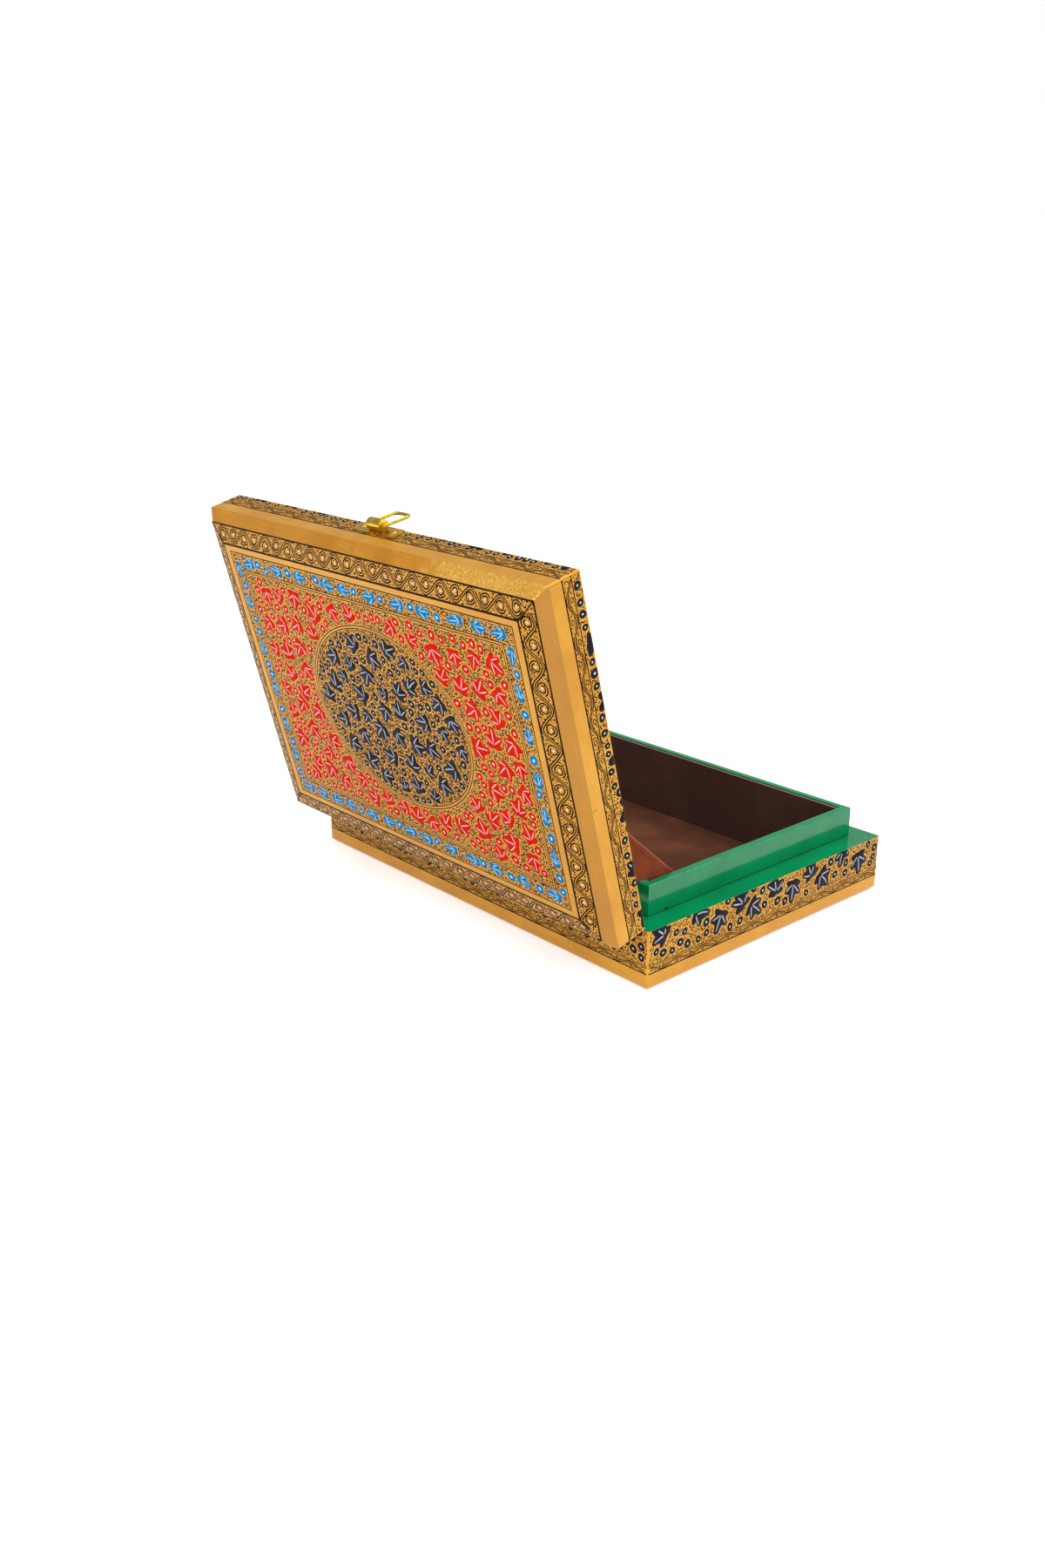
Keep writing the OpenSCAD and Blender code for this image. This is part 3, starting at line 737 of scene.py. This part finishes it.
class Painter:
    """Lays leaves, berries and vines into the room of a patch. targets is a list of
    (piece, patch, lowest v, highest v): a shape is cut to each target's range."""

    def __init__(self, rng, room, targets):
        self.rng, self.room, self.targets = rng, room, targets

    def shape(self, outline, paint_name, **how):
        for piece, patch, v0, v1 in self.targets:
            for bit in between(cut_shape, outline, v0, v1):
                piece.blob(patch, bit - [0, patch.shift], paint_name, **how)

    def line(self, pts, width, paint_name="ink", **how):
        both = np.c_[pts, np.broadcast_to(np.asarray(width, float), (len(pts),))]
        for piece, patch, v0, v1 in self.targets:
            for bit in between(cut_path, both, v0, v1):
                piece.stroke(patch, bit[:, :2] - [0, patch.shift], bit[:, 2], paint_name, **how)

    def leaf(self, u, v, angle, scale, colour):
        """Paints a leaf if it fits, and says whether it did."""
        rng = self.rng
        flip = rng.choice([-1, 1])
        arms, shape = leaf_arms(rng, colour)
        # the node lies behind the spot, so that the leaf is centred on it
        at = np.array([u, v]) - np.array([-math.sin(angle), math.cos(angle)]) * LEAF_MIDDLE * scale
        outline = turned(leaf_outline(arms, shape, rng), angle, scale, at, flip)
        if not self.room.is_free(outline) or not self.room.is_free(grown(outline, -1.6)):
            return False
        self.shape(outline, colour, inset=0.97)
        for vein in leaf_veins(arms, rng):
            self.line(turned(vein, angle, scale, at, flip), VEIN_WIDTH * scale, "vein_" + colour,
                      low=VEIN_LOW, high=VEIN_HIGH, ground=HIGH)
        self.room.block_shape(grown(outline, 0.4))
        return True

    def berry(self, u, v, angle, scale, colour):
        """Paints a berry with its dot if it fits, and says whether it did."""
        outline = turned(berry_outline(), angle, scale, (u, v))
        if not self.room.is_free(outline):
            return False
        self.shape(outline, colour, inset=0.88)
        dot, size = ("dot", 0.8) if colour == "black" else ("dot_" + colour, 1)
        self.shape(turned(ellipse(0.5, 0.72, 8), angle + 0.2, scale * size, (u, v)), dot,
                   low=VEIN_LOW, high=0.08, inset=0.8)
        self.room.block_shape(grown(outline, 0.3))
        return True

    def leaves(self, spots, colour, scale):
        """Tries a leaf at each spot, with a few angles."""
        for u, v, angle in spots:
            for _ in range(4):
                if self.leaf(u, v, angle, scale * self.rng.uniform(0.92, 1.05), colour):
                    break
                angle = self.rng.uniform(0, math.tau)

    def fill_leaves(self, bounds, tries, colour, scale, inside):
        """More leaves, wherever one still fits."""
        u0, u1, v0, v1 = bounds
        for _ in range(tries):
            u, v = self.rng.uniform(u0, u1), self.rng.uniform(v0, v1)
            if inside(u, v) and self.room.spot(u, v):
                self.leaf(u, v, self.rng.uniform(0, math.tau),
                          scale * self.rng.uniform(0.86, 0.98), colour)

    def berries(self, count, colour, bounds, scale=1.0, pair=0.55):
        u0, u1, v0, v1 = bounds
        rng, made = self.rng, 0
        for _ in range(count * 30):
            if made >= count:
                break
            u, v, a = rng.uniform(u0, u1), rng.uniform(v0, v1), rng.uniform(0, math.tau)
            s = scale * rng.uniform(0.84, 1.08)
            if not self.room.spot(u, v):
                continue
            before = self.room.free.copy() if rng.random() < pair else None
            if not self.berry(u, v, a, s, colour):
                continue
            made += 1
            if before is not None:
                # its twin touches it, so the first one's margin doesn't count
                after, self.room.free = self.room.free, before
                b = a + rng.choice([-1, 1]) * rng.uniform(1.0, 2.1)
                d = 3.35 * s
                made += self.berry(u - math.sin(b) * d, v + math.cos(b) * d,
                                   a + rng.uniform(-0.5, 0.5), s, colour)
                self.room.free &= after

    def vines(self, bounds, width, spacing=0.55, gap=0.54, most=24):
        """Curly brush lines in what room is left: at each free seed the longest of a few curls."""
        rng, room = self.rng, self.room
        u0, u1, v0, v1 = bounds
        gu, gv = np.meshgrid(np.arange(u0, u1, spacing), np.arange(v0, v1, spacing))
        seeds = np.stack([gu.ravel(), gv.ravel()], 1)
        seeds = seeds + rng.uniform(-0.5, 0.5, seeds.shape) * spacing
        rng.shuffle(seeds)
        for seed in seeds:
            if not room.spot(*seed):
                continue
            pick = CURLS[rng.integers(len(CURLS), size=7), :most]
            a = rng.uniform(0, math.tau, (7, 1))
            x = seed[0] + pick[..., 0] * np.cos(a) - pick[..., 1] * np.sin(a)
            y = seed[1] + pick[..., 0] * np.sin(a) + pick[..., 1] * np.cos(a)
            free = room.spots(x, y)
            run = np.where(free.all(1), free.shape[1], np.argmin(free, 1))
            best = int(run.argmax())
            n = min(int(run[best]), int(rng.integers(most // 2, most + 1)))
            if n < 5:
                pts = turned([[-0.42, 0], [0, 0.08], [0.36, 0]], a[best, 0], at=seed)
                self.line(pts, [0, width * 1.1, 0])
                room.block_path(pts[:2], gap * 0.85)
                continue
            pts = np.stack([x[best, :n], y[best, :n]], 1)
            w = np.full(n, width) * rng.uniform(0.86, 1.14)
            w[1], w[-2] = w[1] * 0.85, w[-2] * 0.8
            self.line(pts, w)
            room.block_path(pts, gap)


def make_curls(count, steps, step):
    """Curly paths from the origin that never run into themselves."""
    rng, out = np.random.default_rng(5), []
    while len(out) < count:
        path, heading, left, sign, turn = [np.zeros(2)], 0.0, 0.0, 1, 0.0
        for _ in range(steps - 1):
            if left <= 0:
                sign = -sign if rng.random() < 0.7 else sign
                radius = rng.uniform(0.46, 0.8)
                left = rng.uniform(2.4, 4.6) * radius
                turn = sign * step / radius
            heading += turn
            left -= step
            path.append(path[-1] + [math.cos(heading) * step, math.sin(heading) * step])
        path = np.array(path)
        far = np.linalg.norm(path[:, None] - path[None], axis=2)
        apart = np.abs(np.subtract.outer(np.arange(steps), np.arange(steps))) > 4
        if (far[apart] > 0.62).all():
            out.append(path)
    return np.array(out)


CURLS = make_curls(160, 26, 0.34)


def zigzag(u0, u1, step, rows, rng, wander=1.2):
    """Leaf spots along a band, one row after the other."""
    out, k = [], int(rng.integers(2))
    u = u0 + step * 0.5
    while u < u1:
        v = rows[k % len(rows)]
        out.append((u + rng.uniform(-1, 1) * wander, v + rng.uniform(-1, 1) * wander * 0.5,
                    rng.uniform(0, math.tau)))
        u += step
        k += 1
    return out


def scattered(bounds, distance, count, rng, inside):
    """Spots at least distance apart."""
    u0, u1, v0, v1 = bounds
    out = []
    for _ in range(count):
        u, v = rng.uniform(u0, u1), rng.uniform(v0, v1)
        if not inside(u, v):
            continue
        if all((u - a) ** 2 + (v - b) ** 2 > distance ** 2 for a, b, _ in out):
            out.append((u, v, rng.uniform(0, math.tau)))
    return out


# ---------------------------------------------------------------- the lid's top

STRIP_X, STRIP_Y = 16.7, 15.9     # outer edge of the blue band, from the lid's sides
FIELD_IN = 24.6                   # outer edge of the red field
OVAL_MID = np.array([0.0, -1.0])
OVAL_A, OVAL_B = 49.2, 39.5


def rectangle(hu, hv):
    return np.array([[-hu, -hv], [hu, -hv], [hu, hv], [-hu, hv]], float)


def frame_line(piece, patch, hu, hv, width):
    """A closed rectangular painted line with mitred corners."""
    b = width / 2 * (HIGH - LOW) / HIGH
    uvh = np.concatenate([np.c_[rectangle(hu + d, hv + d), np.full(4, h)]
                          for d, h in ((b, LOW), (-b, LOW), (0, HIGH))])
    faces = []
    for i in range(4):
        j = (i + 1) % 4
        faces += [(i, j, 8 + j, 8 + i), (8 + i, 8 + j, 4 + j, 4 + i), (4 + i, 4 + j, j, i)]
    piece.add(patch, uvh, faces, "ink")


def oval_line(piece, patch, grow, width):
    pts = ellipse(OVAL_A + grow, OVAL_B + grow, 160) + OVAL_MID
    piece.stroke(patch, pts, width, "ink", ends="closed")


def in_oval(u, v):
    """0 at the middle of the oval, 1 on its edge."""
    return np.hypot((u - OVAL_MID[0]) / OVAL_A, (v - OVAL_MID[1]) / OVAL_B)


def paint_top():
    rng = np.random.default_rng(7)
    patch = Patch((0, 0, LID_TOP), (1, 0, 0), (0, 1, 0), True, atlas=BOX_D / 2 + 2)
    leaves, vines = Piece("lid_top_leaves", "lid"), Piece("lid_field_vines", "lid")
    oval_vines = Piece("lid_oval_vines", "lid")
    hu, hv = BOX_W / 2 - STRIP_X, BOX_D / 2 - STRIP_Y
    fu, fv = BOX_W / 2 - FIELD_IN, BOX_D / 2 - FIELD_IN
    far = 1e3
    room = Room(-hu, hu, -hv, hv)
    uu, vv = room.centres()
    oval, from_u, from_v = in_oval(uu, vv), np.abs(uu), np.abs(vv)
    # no paint on the lines round the fields
    room.block((from_u > hu - 0.45) | (from_v > hv - 0.45))
    room.block(((from_u > fu - 0.5) | (from_v > fv - 0.5))
               & (from_u < fu + 1.0) & (from_v < fv + 1.0))
    room.block((oval > 1 - 0.4 / OVAL_B) & (oval < 1 + 1.7 / OVAL_B))
    p = Painter(rng, room, [(leaves, patch, -far, far)])
    # Blue band: leaves one after another, with berries between
    mid_u, mid_v = (hu + fu + 1) / 2, (hv + fv + 1) / 2
    for along, sign in ((0, -1), (0, 1), (1, -1), (1, 1)):
        reach = (mid_u if along == 0 else mid_v) - 3.0
        at = -reach + rng.uniform(0, 3)
        while at < reach:
            u, v = (at, sign * mid_v) if along == 0 else (sign * mid_u, at)
            way = ((0 if along else math.pi / 2) + rng.choice([0, math.pi])
                   + rng.uniform(-0.18, 0.18))
            scale = rng.uniform(0.93, 1.0) * (0.88 if along else 1)
            if p.leaf(u + rng.uniform(-0.2, 0.2), v + rng.uniform(-0.2, 0.2), way, scale, "blue"):
                at += rng.choice([11.0, 15.0, 16.5, 18.5])
            else:
                at += 0.7
    in_band = [(-hu, hu, -hv, -fv), (-hu, hu, fv, hv), (-hu, -fu, -hv, hv), (fu, hu, -hv, hv)]
    for b, count in zip(in_band, (30, 30, 20, 20)):
        p.berries(count, "blue", b, 1.24, 0.6)
    band_free = room.free.copy()
    # Red field and black oval
    oval_box = (-OVAL_A, OVAL_A, -OVAL_B - 1, OVAL_B - 1)
    p.leaves(scattered(oval_box, 9.9, 5000, rng, lambda u, v: in_oval(u, v) < 0.9), "black", 1.14)
    p.fill_leaves(oval_box, 6000, "black", 1.0, lambda u, v: in_oval(u, v) < 0.93)
    field = (-fu, fu, -fv, fv)
    p.leaves(scattered(field, 10.7, 9000, rng, lambda u, v: in_oval(u, v) > 1.06), "red", 1.15)
    p.fill_leaves(field, 12000, "red", 1.08, lambda u, v: in_oval(u, v) > 1.04)
    keep = room.free.copy()
    room.block(oval > 1)
    p.berries(220, "black", oval_box, 1.1)
    inside = room.free.copy()
    room.free = keep
    room.block((oval < 1) | (from_u > fu) | (from_v > fv))
    p.berries(380, "red", field, 1.2)
    outside = (room.free & (oval > 1)) | (band_free & ((from_u > fu) | (from_v > fv)))
    room.free = inside & (oval <= 1)
    p.targets = [(oval_vines, patch, -far, far)]
    p.vines(oval_box, 0.66, spacing=0.42, gap=0.48)
    room.free = outside
    p.targets = [(vines, patch, -far, far)]
    p.vines((-hu, hu, -hv, hv), 0.56, spacing=0.5, gap=0.5)
    # Lines round the fields
    border_u, border_v = BOX_W / 2 - BORDER_IN - 0.25, BOX_D / 2 - BORDER_IN - 0.25
    for line_u, line_v, width in ((border_u, border_v, 0.5), (hu, hv, 0.5),
                                  (fu + 1.05, fv + 1.05, 0.44), (fu, fv, 0.42)):
        frame_line(leaves, patch, line_u, line_v, width)
    oval_line(leaves, patch, 0.0, 0.42)
    oval_line(leaves, patch, 1.2, 0.46)
    for piece in (leaves, vines, oval_vines):
        piece.build()


paint_top()

# ---------------------------------------------------------------- bands on the sides

SEAM = (LEDGE_H - 0.04, RIM_Z + 0.04)
BAND_LOW, BAND_HIGH = 10.95, 30.1                            # the leaf band, over both halves
BASE_LINES = ((7.35, 0.55), (10.2, 0.34), (10.95, 0.36))     # height and width of the lines
LID_LINES = ((4.4, 0.5), (8.75, 0.62))
BASE_SCROLL, LID_SCROLL = (7.75, 9.95), (4.7, 8.4)


def paint_sides():
    lid_piece, lid_vines = Piece("lid_side_leaves", "lid"), Piece("lid_side_vines", "lid")
    base_piece, base_vines = Piece("base_side_leaves", "base"), Piece("base_side_vines", "base")
    for k, (along, inward, half, away) in enumerate(SIDES):
        rng = np.random.default_rng(100 + k)
        out = -np.array(inward, float) * away
        row = k * 24 + 2
        base = Patch(out, along, (0, 0, 1), False, row)
        lid = Patch(out + [0, 0, RIM_Z], along, (0, 0, 1), True, row, RIM_Z)
        reach = half - 0.95
        bounds = (-reach, reach, BAND_LOW, BAND_HIGH)
        room = Room(*bounds)
        uu, vv = room.centres()
        # no paint under the hasp, the catch and the hinges' knuckles
        metal = {0: ((0, HASP_Z, HASP_W / 2 + 0.3, HASP_H / 2 + 0.3),
                     (0, CATCH_Z, CATCH_W / 2 + 0.3, CATCH_H / 2 + 0.3)),
                 2: ((HINGE_X, HINGE_Z, HINGE_LEN / 2 + 0.6, KNUCKLE_R + 0.5),)}
        for u, v, du, dv in metal.get(k, ()):
            room.block((np.abs(np.abs(uu) - u) < du) & (np.abs(vv - v) < dv))
        p = Painter(rng, room, [(base_piece, base, BAND_LOW, SEAM[0]),
                                (lid_piece, lid, SEAM[1], BAND_HIGH)])
        p.leaves(zigzag(-reach, reach, 11.8, (17.0, 24.2), rng), "black", 1.28)
        p.berries(int(half * 0.22), "black", (-reach, reach, 27.9, 28.5), 0.95, 0.2)
        p.berries(int(half * 0.95), "black", bounds, 1.14)
        room.block((vv > SEAM[0] - 0.42) & (vv < SEAM[1] + 0.42))
        p.targets = [(base_vines, base, BAND_LOW, SEAM[0]), (lid_vines, lid, SEAM[1], BAND_HIGH)]
        p.vines(bounds, 0.5)
        side_lines(base_piece, base, half - 0.7, BASE_LINES)
        side_lines(lid_piece, lid, half - 0.7, LID_LINES)
        side_scroll(rng, base_vines, base, half - 1.2, *BASE_SCROLL)
        side_scroll(rng, lid_vines, lid, half - 1.2, *LID_SCROLL)
    for piece in (lid_piece, lid_vines, base_piece, base_vines):
        piece.build()


def side_lines(piece, patch, reach, lines):
    for v, width in lines:
        piece.stroke(patch, np.array([[-reach, v], [0, v], [reach, v]]), width, "ink", ends="flat")


def side_scroll(rng, piece, patch, reach, v0, v1):
    """A flat wavy vine between two lines, with a loop in each bay and flecks in what is left."""
    room = Room(-reach, reach, v0, v1)
    shift, patch.shift = patch.shift, 0.0     # this room starts where the patch does
    p = Painter(rng, room, [(piece, patch, v0 - 1, v1 + 1)])
    mid, height = (v0 + v1) / 2, v1 - v0
    n = max(1, round(2 * reach / 7.8))
    bay = 2 * reach / n

    def wave(u):
        return mid + (height / 2 - 0.35) * np.sin(u * math.pi / bay)

    u = np.arange(-reach, reach, 0.45)
    stem = np.stack([u, wave(u)], 1)
    for off in (-0.34, 0.34):
        p.line(stem + [0, off], 0.42)
    room.block_path(stem, 0.55)
    for i in range(n):
        uc = (math.floor(-reach / bay) + i + 0.5) * bay
        if abs(uc) > reach - 1.5:
            continue
        s = 1 if math.sin(uc * math.pi / bay) > 0 else -1
        r = height * 0.17
        loop = ellipse(1.5 * r, r, 12) + [uc, mid - s * height * 0.2]
        piece.stroke(patch, loop, 0.42, "ink", ends="closed")
        room.block_shape(grown(loop, 0.35))
        for d in (0.9, 1.5) if height >= 3 else (0.9,):
            part = np.linspace(uc - bay * 0.42, uc + bay * 0.3, 10)
            q = np.stack([part, wave(part) - s * d], 1)
            q = q[(q[:, 1] > v0 + 0.15) & (q[:, 1] < v1 - 0.15)]
            if len(q) > 4 and room.is_free(q[1:-1]):
                p.line(q, 0.4)
                room.block_path(q, 0.5)
    p.vines((-reach, reach, v0, v1), 0.42, most=12)
    patch.shift = shift


paint_sides()

# ---------------------------------------------------------------- scroll border round the lid's top

SLOPE = math.hypot(BORDER_IN - BEVEL_IN, LID_TOP - BEVEL_TOP)


def paint_border():
    lines = Piece("lid_border_scroll", "lid")
    for k, (along, inward, half, away) in enumerate(SIDES):
        rng = np.random.default_rng(300 + k)
        inward = np.array(inward, float)
        up = (inward * (BORDER_IN - BEVEL_IN) + [0, 0, LID_TOP - BEVEL_TOP]) / SLOPE
        origin = -inward * (away - BEVEL_IN) + [0, 0, BEVEL_TOP]
        patch = Patch(origin, along, up, True, atlas=k * 10 + 2)
        long_u, short_u = half - BEVEL_IN, half - BORDER_IN
        room = Room(-long_u, long_u, 0, SLOPE)
        uu, vv = room.centres()
        mitre = long_u - vv * (BORDER_IN - BEVEL_IN) / SLOPE
        room.block((np.abs(uu) > mitre - 0.45) | (vv < 0.55) | (vv > SLOPE - 0.5))
        p = Painter(rng, room, [(lines, patch, -1, SLOPE + 1)])
        for v, w, u in ((0.22, 0.6, long_u - 0.1), (SLOPE - 0.22, 0.44, short_u + 0.1)):
            p.line(np.array([[-u, v], [0, v], [u, v]]), w, ends="flat")
        # the diagonal at this side's far corner
        corner = [[long_u - 0.35, 0.3], [short_u + 0.15, SLOPE - 0.35]]
        p.line(dense(corner, 1.0), 0.36, ends="flat")
        # the stem: two wavy lines side by side
        mid = SLOPE / 2
        ends = half - (BEVEL_IN + BORDER_IN) / 2 - 4.6
        n = round(2 * ends / 8.25)
        step = 2 * ends / n
        amp = mid - 1.1
        u = np.arange(-ends - step * 0.5, ends + step * 0.5 + 0.01, step / 18)
        sway = (1 + 0.1 * np.sin(u * 0.37 + rng.uniform(0, 6))
                + 0.06 * np.sin(u * 0.91 + rng.uniform(0, 6)))
        wave = amp * np.cos((u + ends) / step * math.pi) * np.minimum(sway, 1.08)
        stem = np.stack([u, mid + wave], 1)
        for off in (-0.46, 0.46):
            p.line(stem + sideways(stem) * off, 0.58)
        room.block_path(stem, 0.95)
        for i in range(n + 1):
            s = 1 if i % 2 == 0 else -1
            eye = np.array([i * step - ends, mid - s * 0.5]) + rng.uniform(-0.22, 0.22, 2)
            t = np.linspace(0, 1, 36)
            angle = math.pi + s * (0.1 + t * rng.uniform(2.85, 3.2) * math.pi)
            r = (2.95 - 1.75 * t ** 0.9) * (1 + 0.06 * np.sin(3 * angle + rng.uniform(0, 6)))
            spiral = np.stack([eye[0] + r * np.cos(angle), eye[1] + r * np.sin(angle) * 0.93], 1)
            w = np.full(36, 0.66)
            w[-3:] = (0.54, 0.38, 0.14)
            p.line(spiral, w)
            room.block_path(spiral, 0.5)
            white = turned(ellipse(0.66, 0.42, 12), rng.uniform(0, math.pi), at=eye)
            lines.blob(patch, white, "dot", high=0.07, inset=0.8)
            room.block_shape(grown(white, 0.5))
            # petals outside the spiral
            for deg in range(200, 341, 28):
                d = math.radians(deg) * s
                way = np.array([math.cos(d), math.sin(d) * 0.95])
                q, e = eye + way * 2.95, eye + way * 3.75
                m = (q + e) / 2 + np.array([-way[1], way[0]]) * 0.2
                pts = np.array([q, m, e])
                if room.is_free(pts):
                    p.line(pts, [0, 0.62, 0])
                    room.block_path(pts, 0.4)
        p.vines((-long_u, long_u, 0, SLOPE), 0.56, most=9)
    lines.build()


paint_border()

# ---------------------------------------------------------------- cloth stays

def stay_curve(row):
    """Front and back point of a row of the gusset, with row from 0 on the base to 1 on the lid."""
    def opened(y, z):
        return shut_to_rest(np.array([[0, y, z]], float))[0, 1:]
    front0 = np.array([HINGE_Y - 31.7, LINING_TOP - 0.4])
    front1 = opened(HINGE_Y - 75, CEILING_Z - LID_LINING_T - STAY_GAP)
    start = opened(HINGE_Y - 18, CEILING_Z - LID_LINING_T - STAY_GAP)
    back_y = BOX_D / 2 - ROOM_IN - 2 * STAY_GAP
    over = LIP_TOP + 3 * STAY_GAP
    step = np.array([BOX_D / 2 - LEDGE_W + 2 * STAY_GAP, over])
    rows = [0, 0.03] + [0.1 + 0.9 * i / 8 for i in range(9)]
    backs = [np.array([back_y, LINING_TOP - 0.4]), np.array([back_y, over])] + \
            [step + (start - step) * i / 8 for i in range(9)]
    back = np.array([np.interp(row, rows, [b[c] for b in backs]) for c in (0, 1)])
    return front0 + (front1 - front0) * row, back


def make_stay(name, node, side):
    rows = [0, 0.015, 0.03, 0.055, 0.08] + [round(0.1 + 0.9 * i / 40, 4) for i in range(41)]
    cols = 30
    x0 = -(BOX_W / 2 - ROOM_IN - STAY_GAP)
    grid = np.zeros((len(rows), cols + 1, 3))
    for i, r in enumerate(rows):
        front, back = stay_curve(r)
        for j in range(cols + 1):
            c = j / cols
            yz = front + (back - front) * c
            belly = 0.8 * math.sin(math.pi * r)
            ripple = 0.12 * math.sin(r * 23 + c * 4) * math.sin(math.pi * r) * (1 - c)
            grid[i, j] = (x0 + belly + ripple + 0.05, yz[0], yz[1])
    grid[:, :, 0] *= -side
    verts = [tuple(p * MM) for p in grid.reshape(-1, 3)]
    faces = []
    for i in range(len(rows) - 1):
        for j in range(cols):
            a = i * (cols + 1) + j
            q = (a, a + 1, a + cols + 2, a + cols + 1)
            faces.append(q if side < 0 else q[::-1])
    mesh = bpy.data.meshes.new(name)
    mesh.from_pydata(verts, [], faces)
    uv = mesh.uv_layers.new(name="cloth")
    hem = mesh.uv_layers.new(name="hem")     # u is how far it is from the free front edge
    reach = np.linalg.norm(grid - grid[:, :1], axis=2).reshape(-1) * MM
    for loop in mesh.loops:
        co = mesh.vertices[loop.vertex_index].co
        uv.data[loop.index].uv = (co.y, co.z)
        hem.data[loop.index].uv = (reach[loop.vertex_index], co.z)
    mesh.materials.append(cloth)
    for f in mesh.polygons:
        f.use_smooth = True
    obj = new_object(name, mesh)
    solid = obj.modifiers.new("thickness", "SOLIDIFY")
    solid.thickness = (STAY_T - 0.15) * MM
    solid.offset = -1
    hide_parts(node)
    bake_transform(obj)
    length = float(np.linalg.norm(stay_curve(1)[0] - stay_curve(0)[0])) * MM


make_stay("left_stay_cloth", "left_stay", -1)
make_stay("right_stay_cloth", "right_stay", 1)

# ---------------------------------------------------------------- stage and light

def make_stage():
    n = Nodes("floor_white")
    path = n.add("ShaderNodeLightPath")
    seen = n.math("MAXIMUM", path.outputs["Is Camera Ray"], path.outputs["Is Glossy Ray"])
    tone = n.noise(n.place(), 0.004, 1)
    away = n.add("ShaderNodeVectorMath", {0: n.add("ShaderNodeNewGeometry").outputs["Position"]},
                 operation="LENGTH").outputs["Value"]
    glow = n.range(away, 0.4, 1.6, 0.55, 1.0)
    paper = n.mix(n.range(tone, 0.3, 0.7), (0.86, 0.86, 0.86, 1), (0.88, 0.88, 0.88, 1))
    n.shader(Base_Color=paper, Roughness=0.9, Emission_Color=(1, 1, 1, 1),
             Emission_Strength=n.times(seen, glow),
             Specular_IOR_Level=0.1)
    mesh = bpy.data.meshes.new("floor")
    s, z = 12.0, -0.0002
    mesh.from_pydata([(-s, -s, z), (s, -s, z), (s, s, z), (-s, s, z)], [], [(0, 1, 2, 3)])
    mesh.materials.append(n.mat)
    obj = new_object("floor", mesh)

    # white where the camera sees it, dimmer as light
    world = bpy.data.worlds.new("studio")
    bpy.context.scene.world = world
    world.use_nodes = True
    tree = world.node_tree
    tree.nodes.clear()
    out, mix, path, seen_bg, light_bg = (tree.nodes.new("ShaderNode" + kind) for kind in (
        "OutputWorld", "MixShader", "LightPath", "Background", "Background"))
    for shade, strength in ((seen_bg, 1.0), (light_bg, 0.48)):
        shade.inputs["Color"].default_value = (1, 1, 1, 1)
        shade.inputs["Strength"].default_value = strength
    for i, source in enumerate((path.outputs["Is Camera Ray"], light_bg.outputs[0],
                                seen_bg.outputs[0])):
        tree.links.new(source, mix.inputs[i])
    tree.links.new(mix.outputs[0], out.inputs[0])


def area_light(name, at, aim, size, power):
    data = bpy.data.lights.new(name, "AREA")
    data.shape, data.size, data.energy = "SQUARE", size, power
    obj = new_object(name, data)
    obj.location = at
    obj.rotation_euler = (Vector(aim) - Vector(at)).to_track_quat("-Z", "Y").to_euler()


make_stage()
area_light("key", (-1.3, 0.7, 1.3), (0, 0.05, 0.06), 1.1, 16)
area_light("fill", (0.4, 1.6, 0.9), (0, 0.1, 0.08), 1.2, 9)
area_light("top", (-0.2, -0.6, 1.6), (0, 0, 0.05), 1.2, 13.5)
bpy.context.scene.view_settings.view_transform = "Standard"
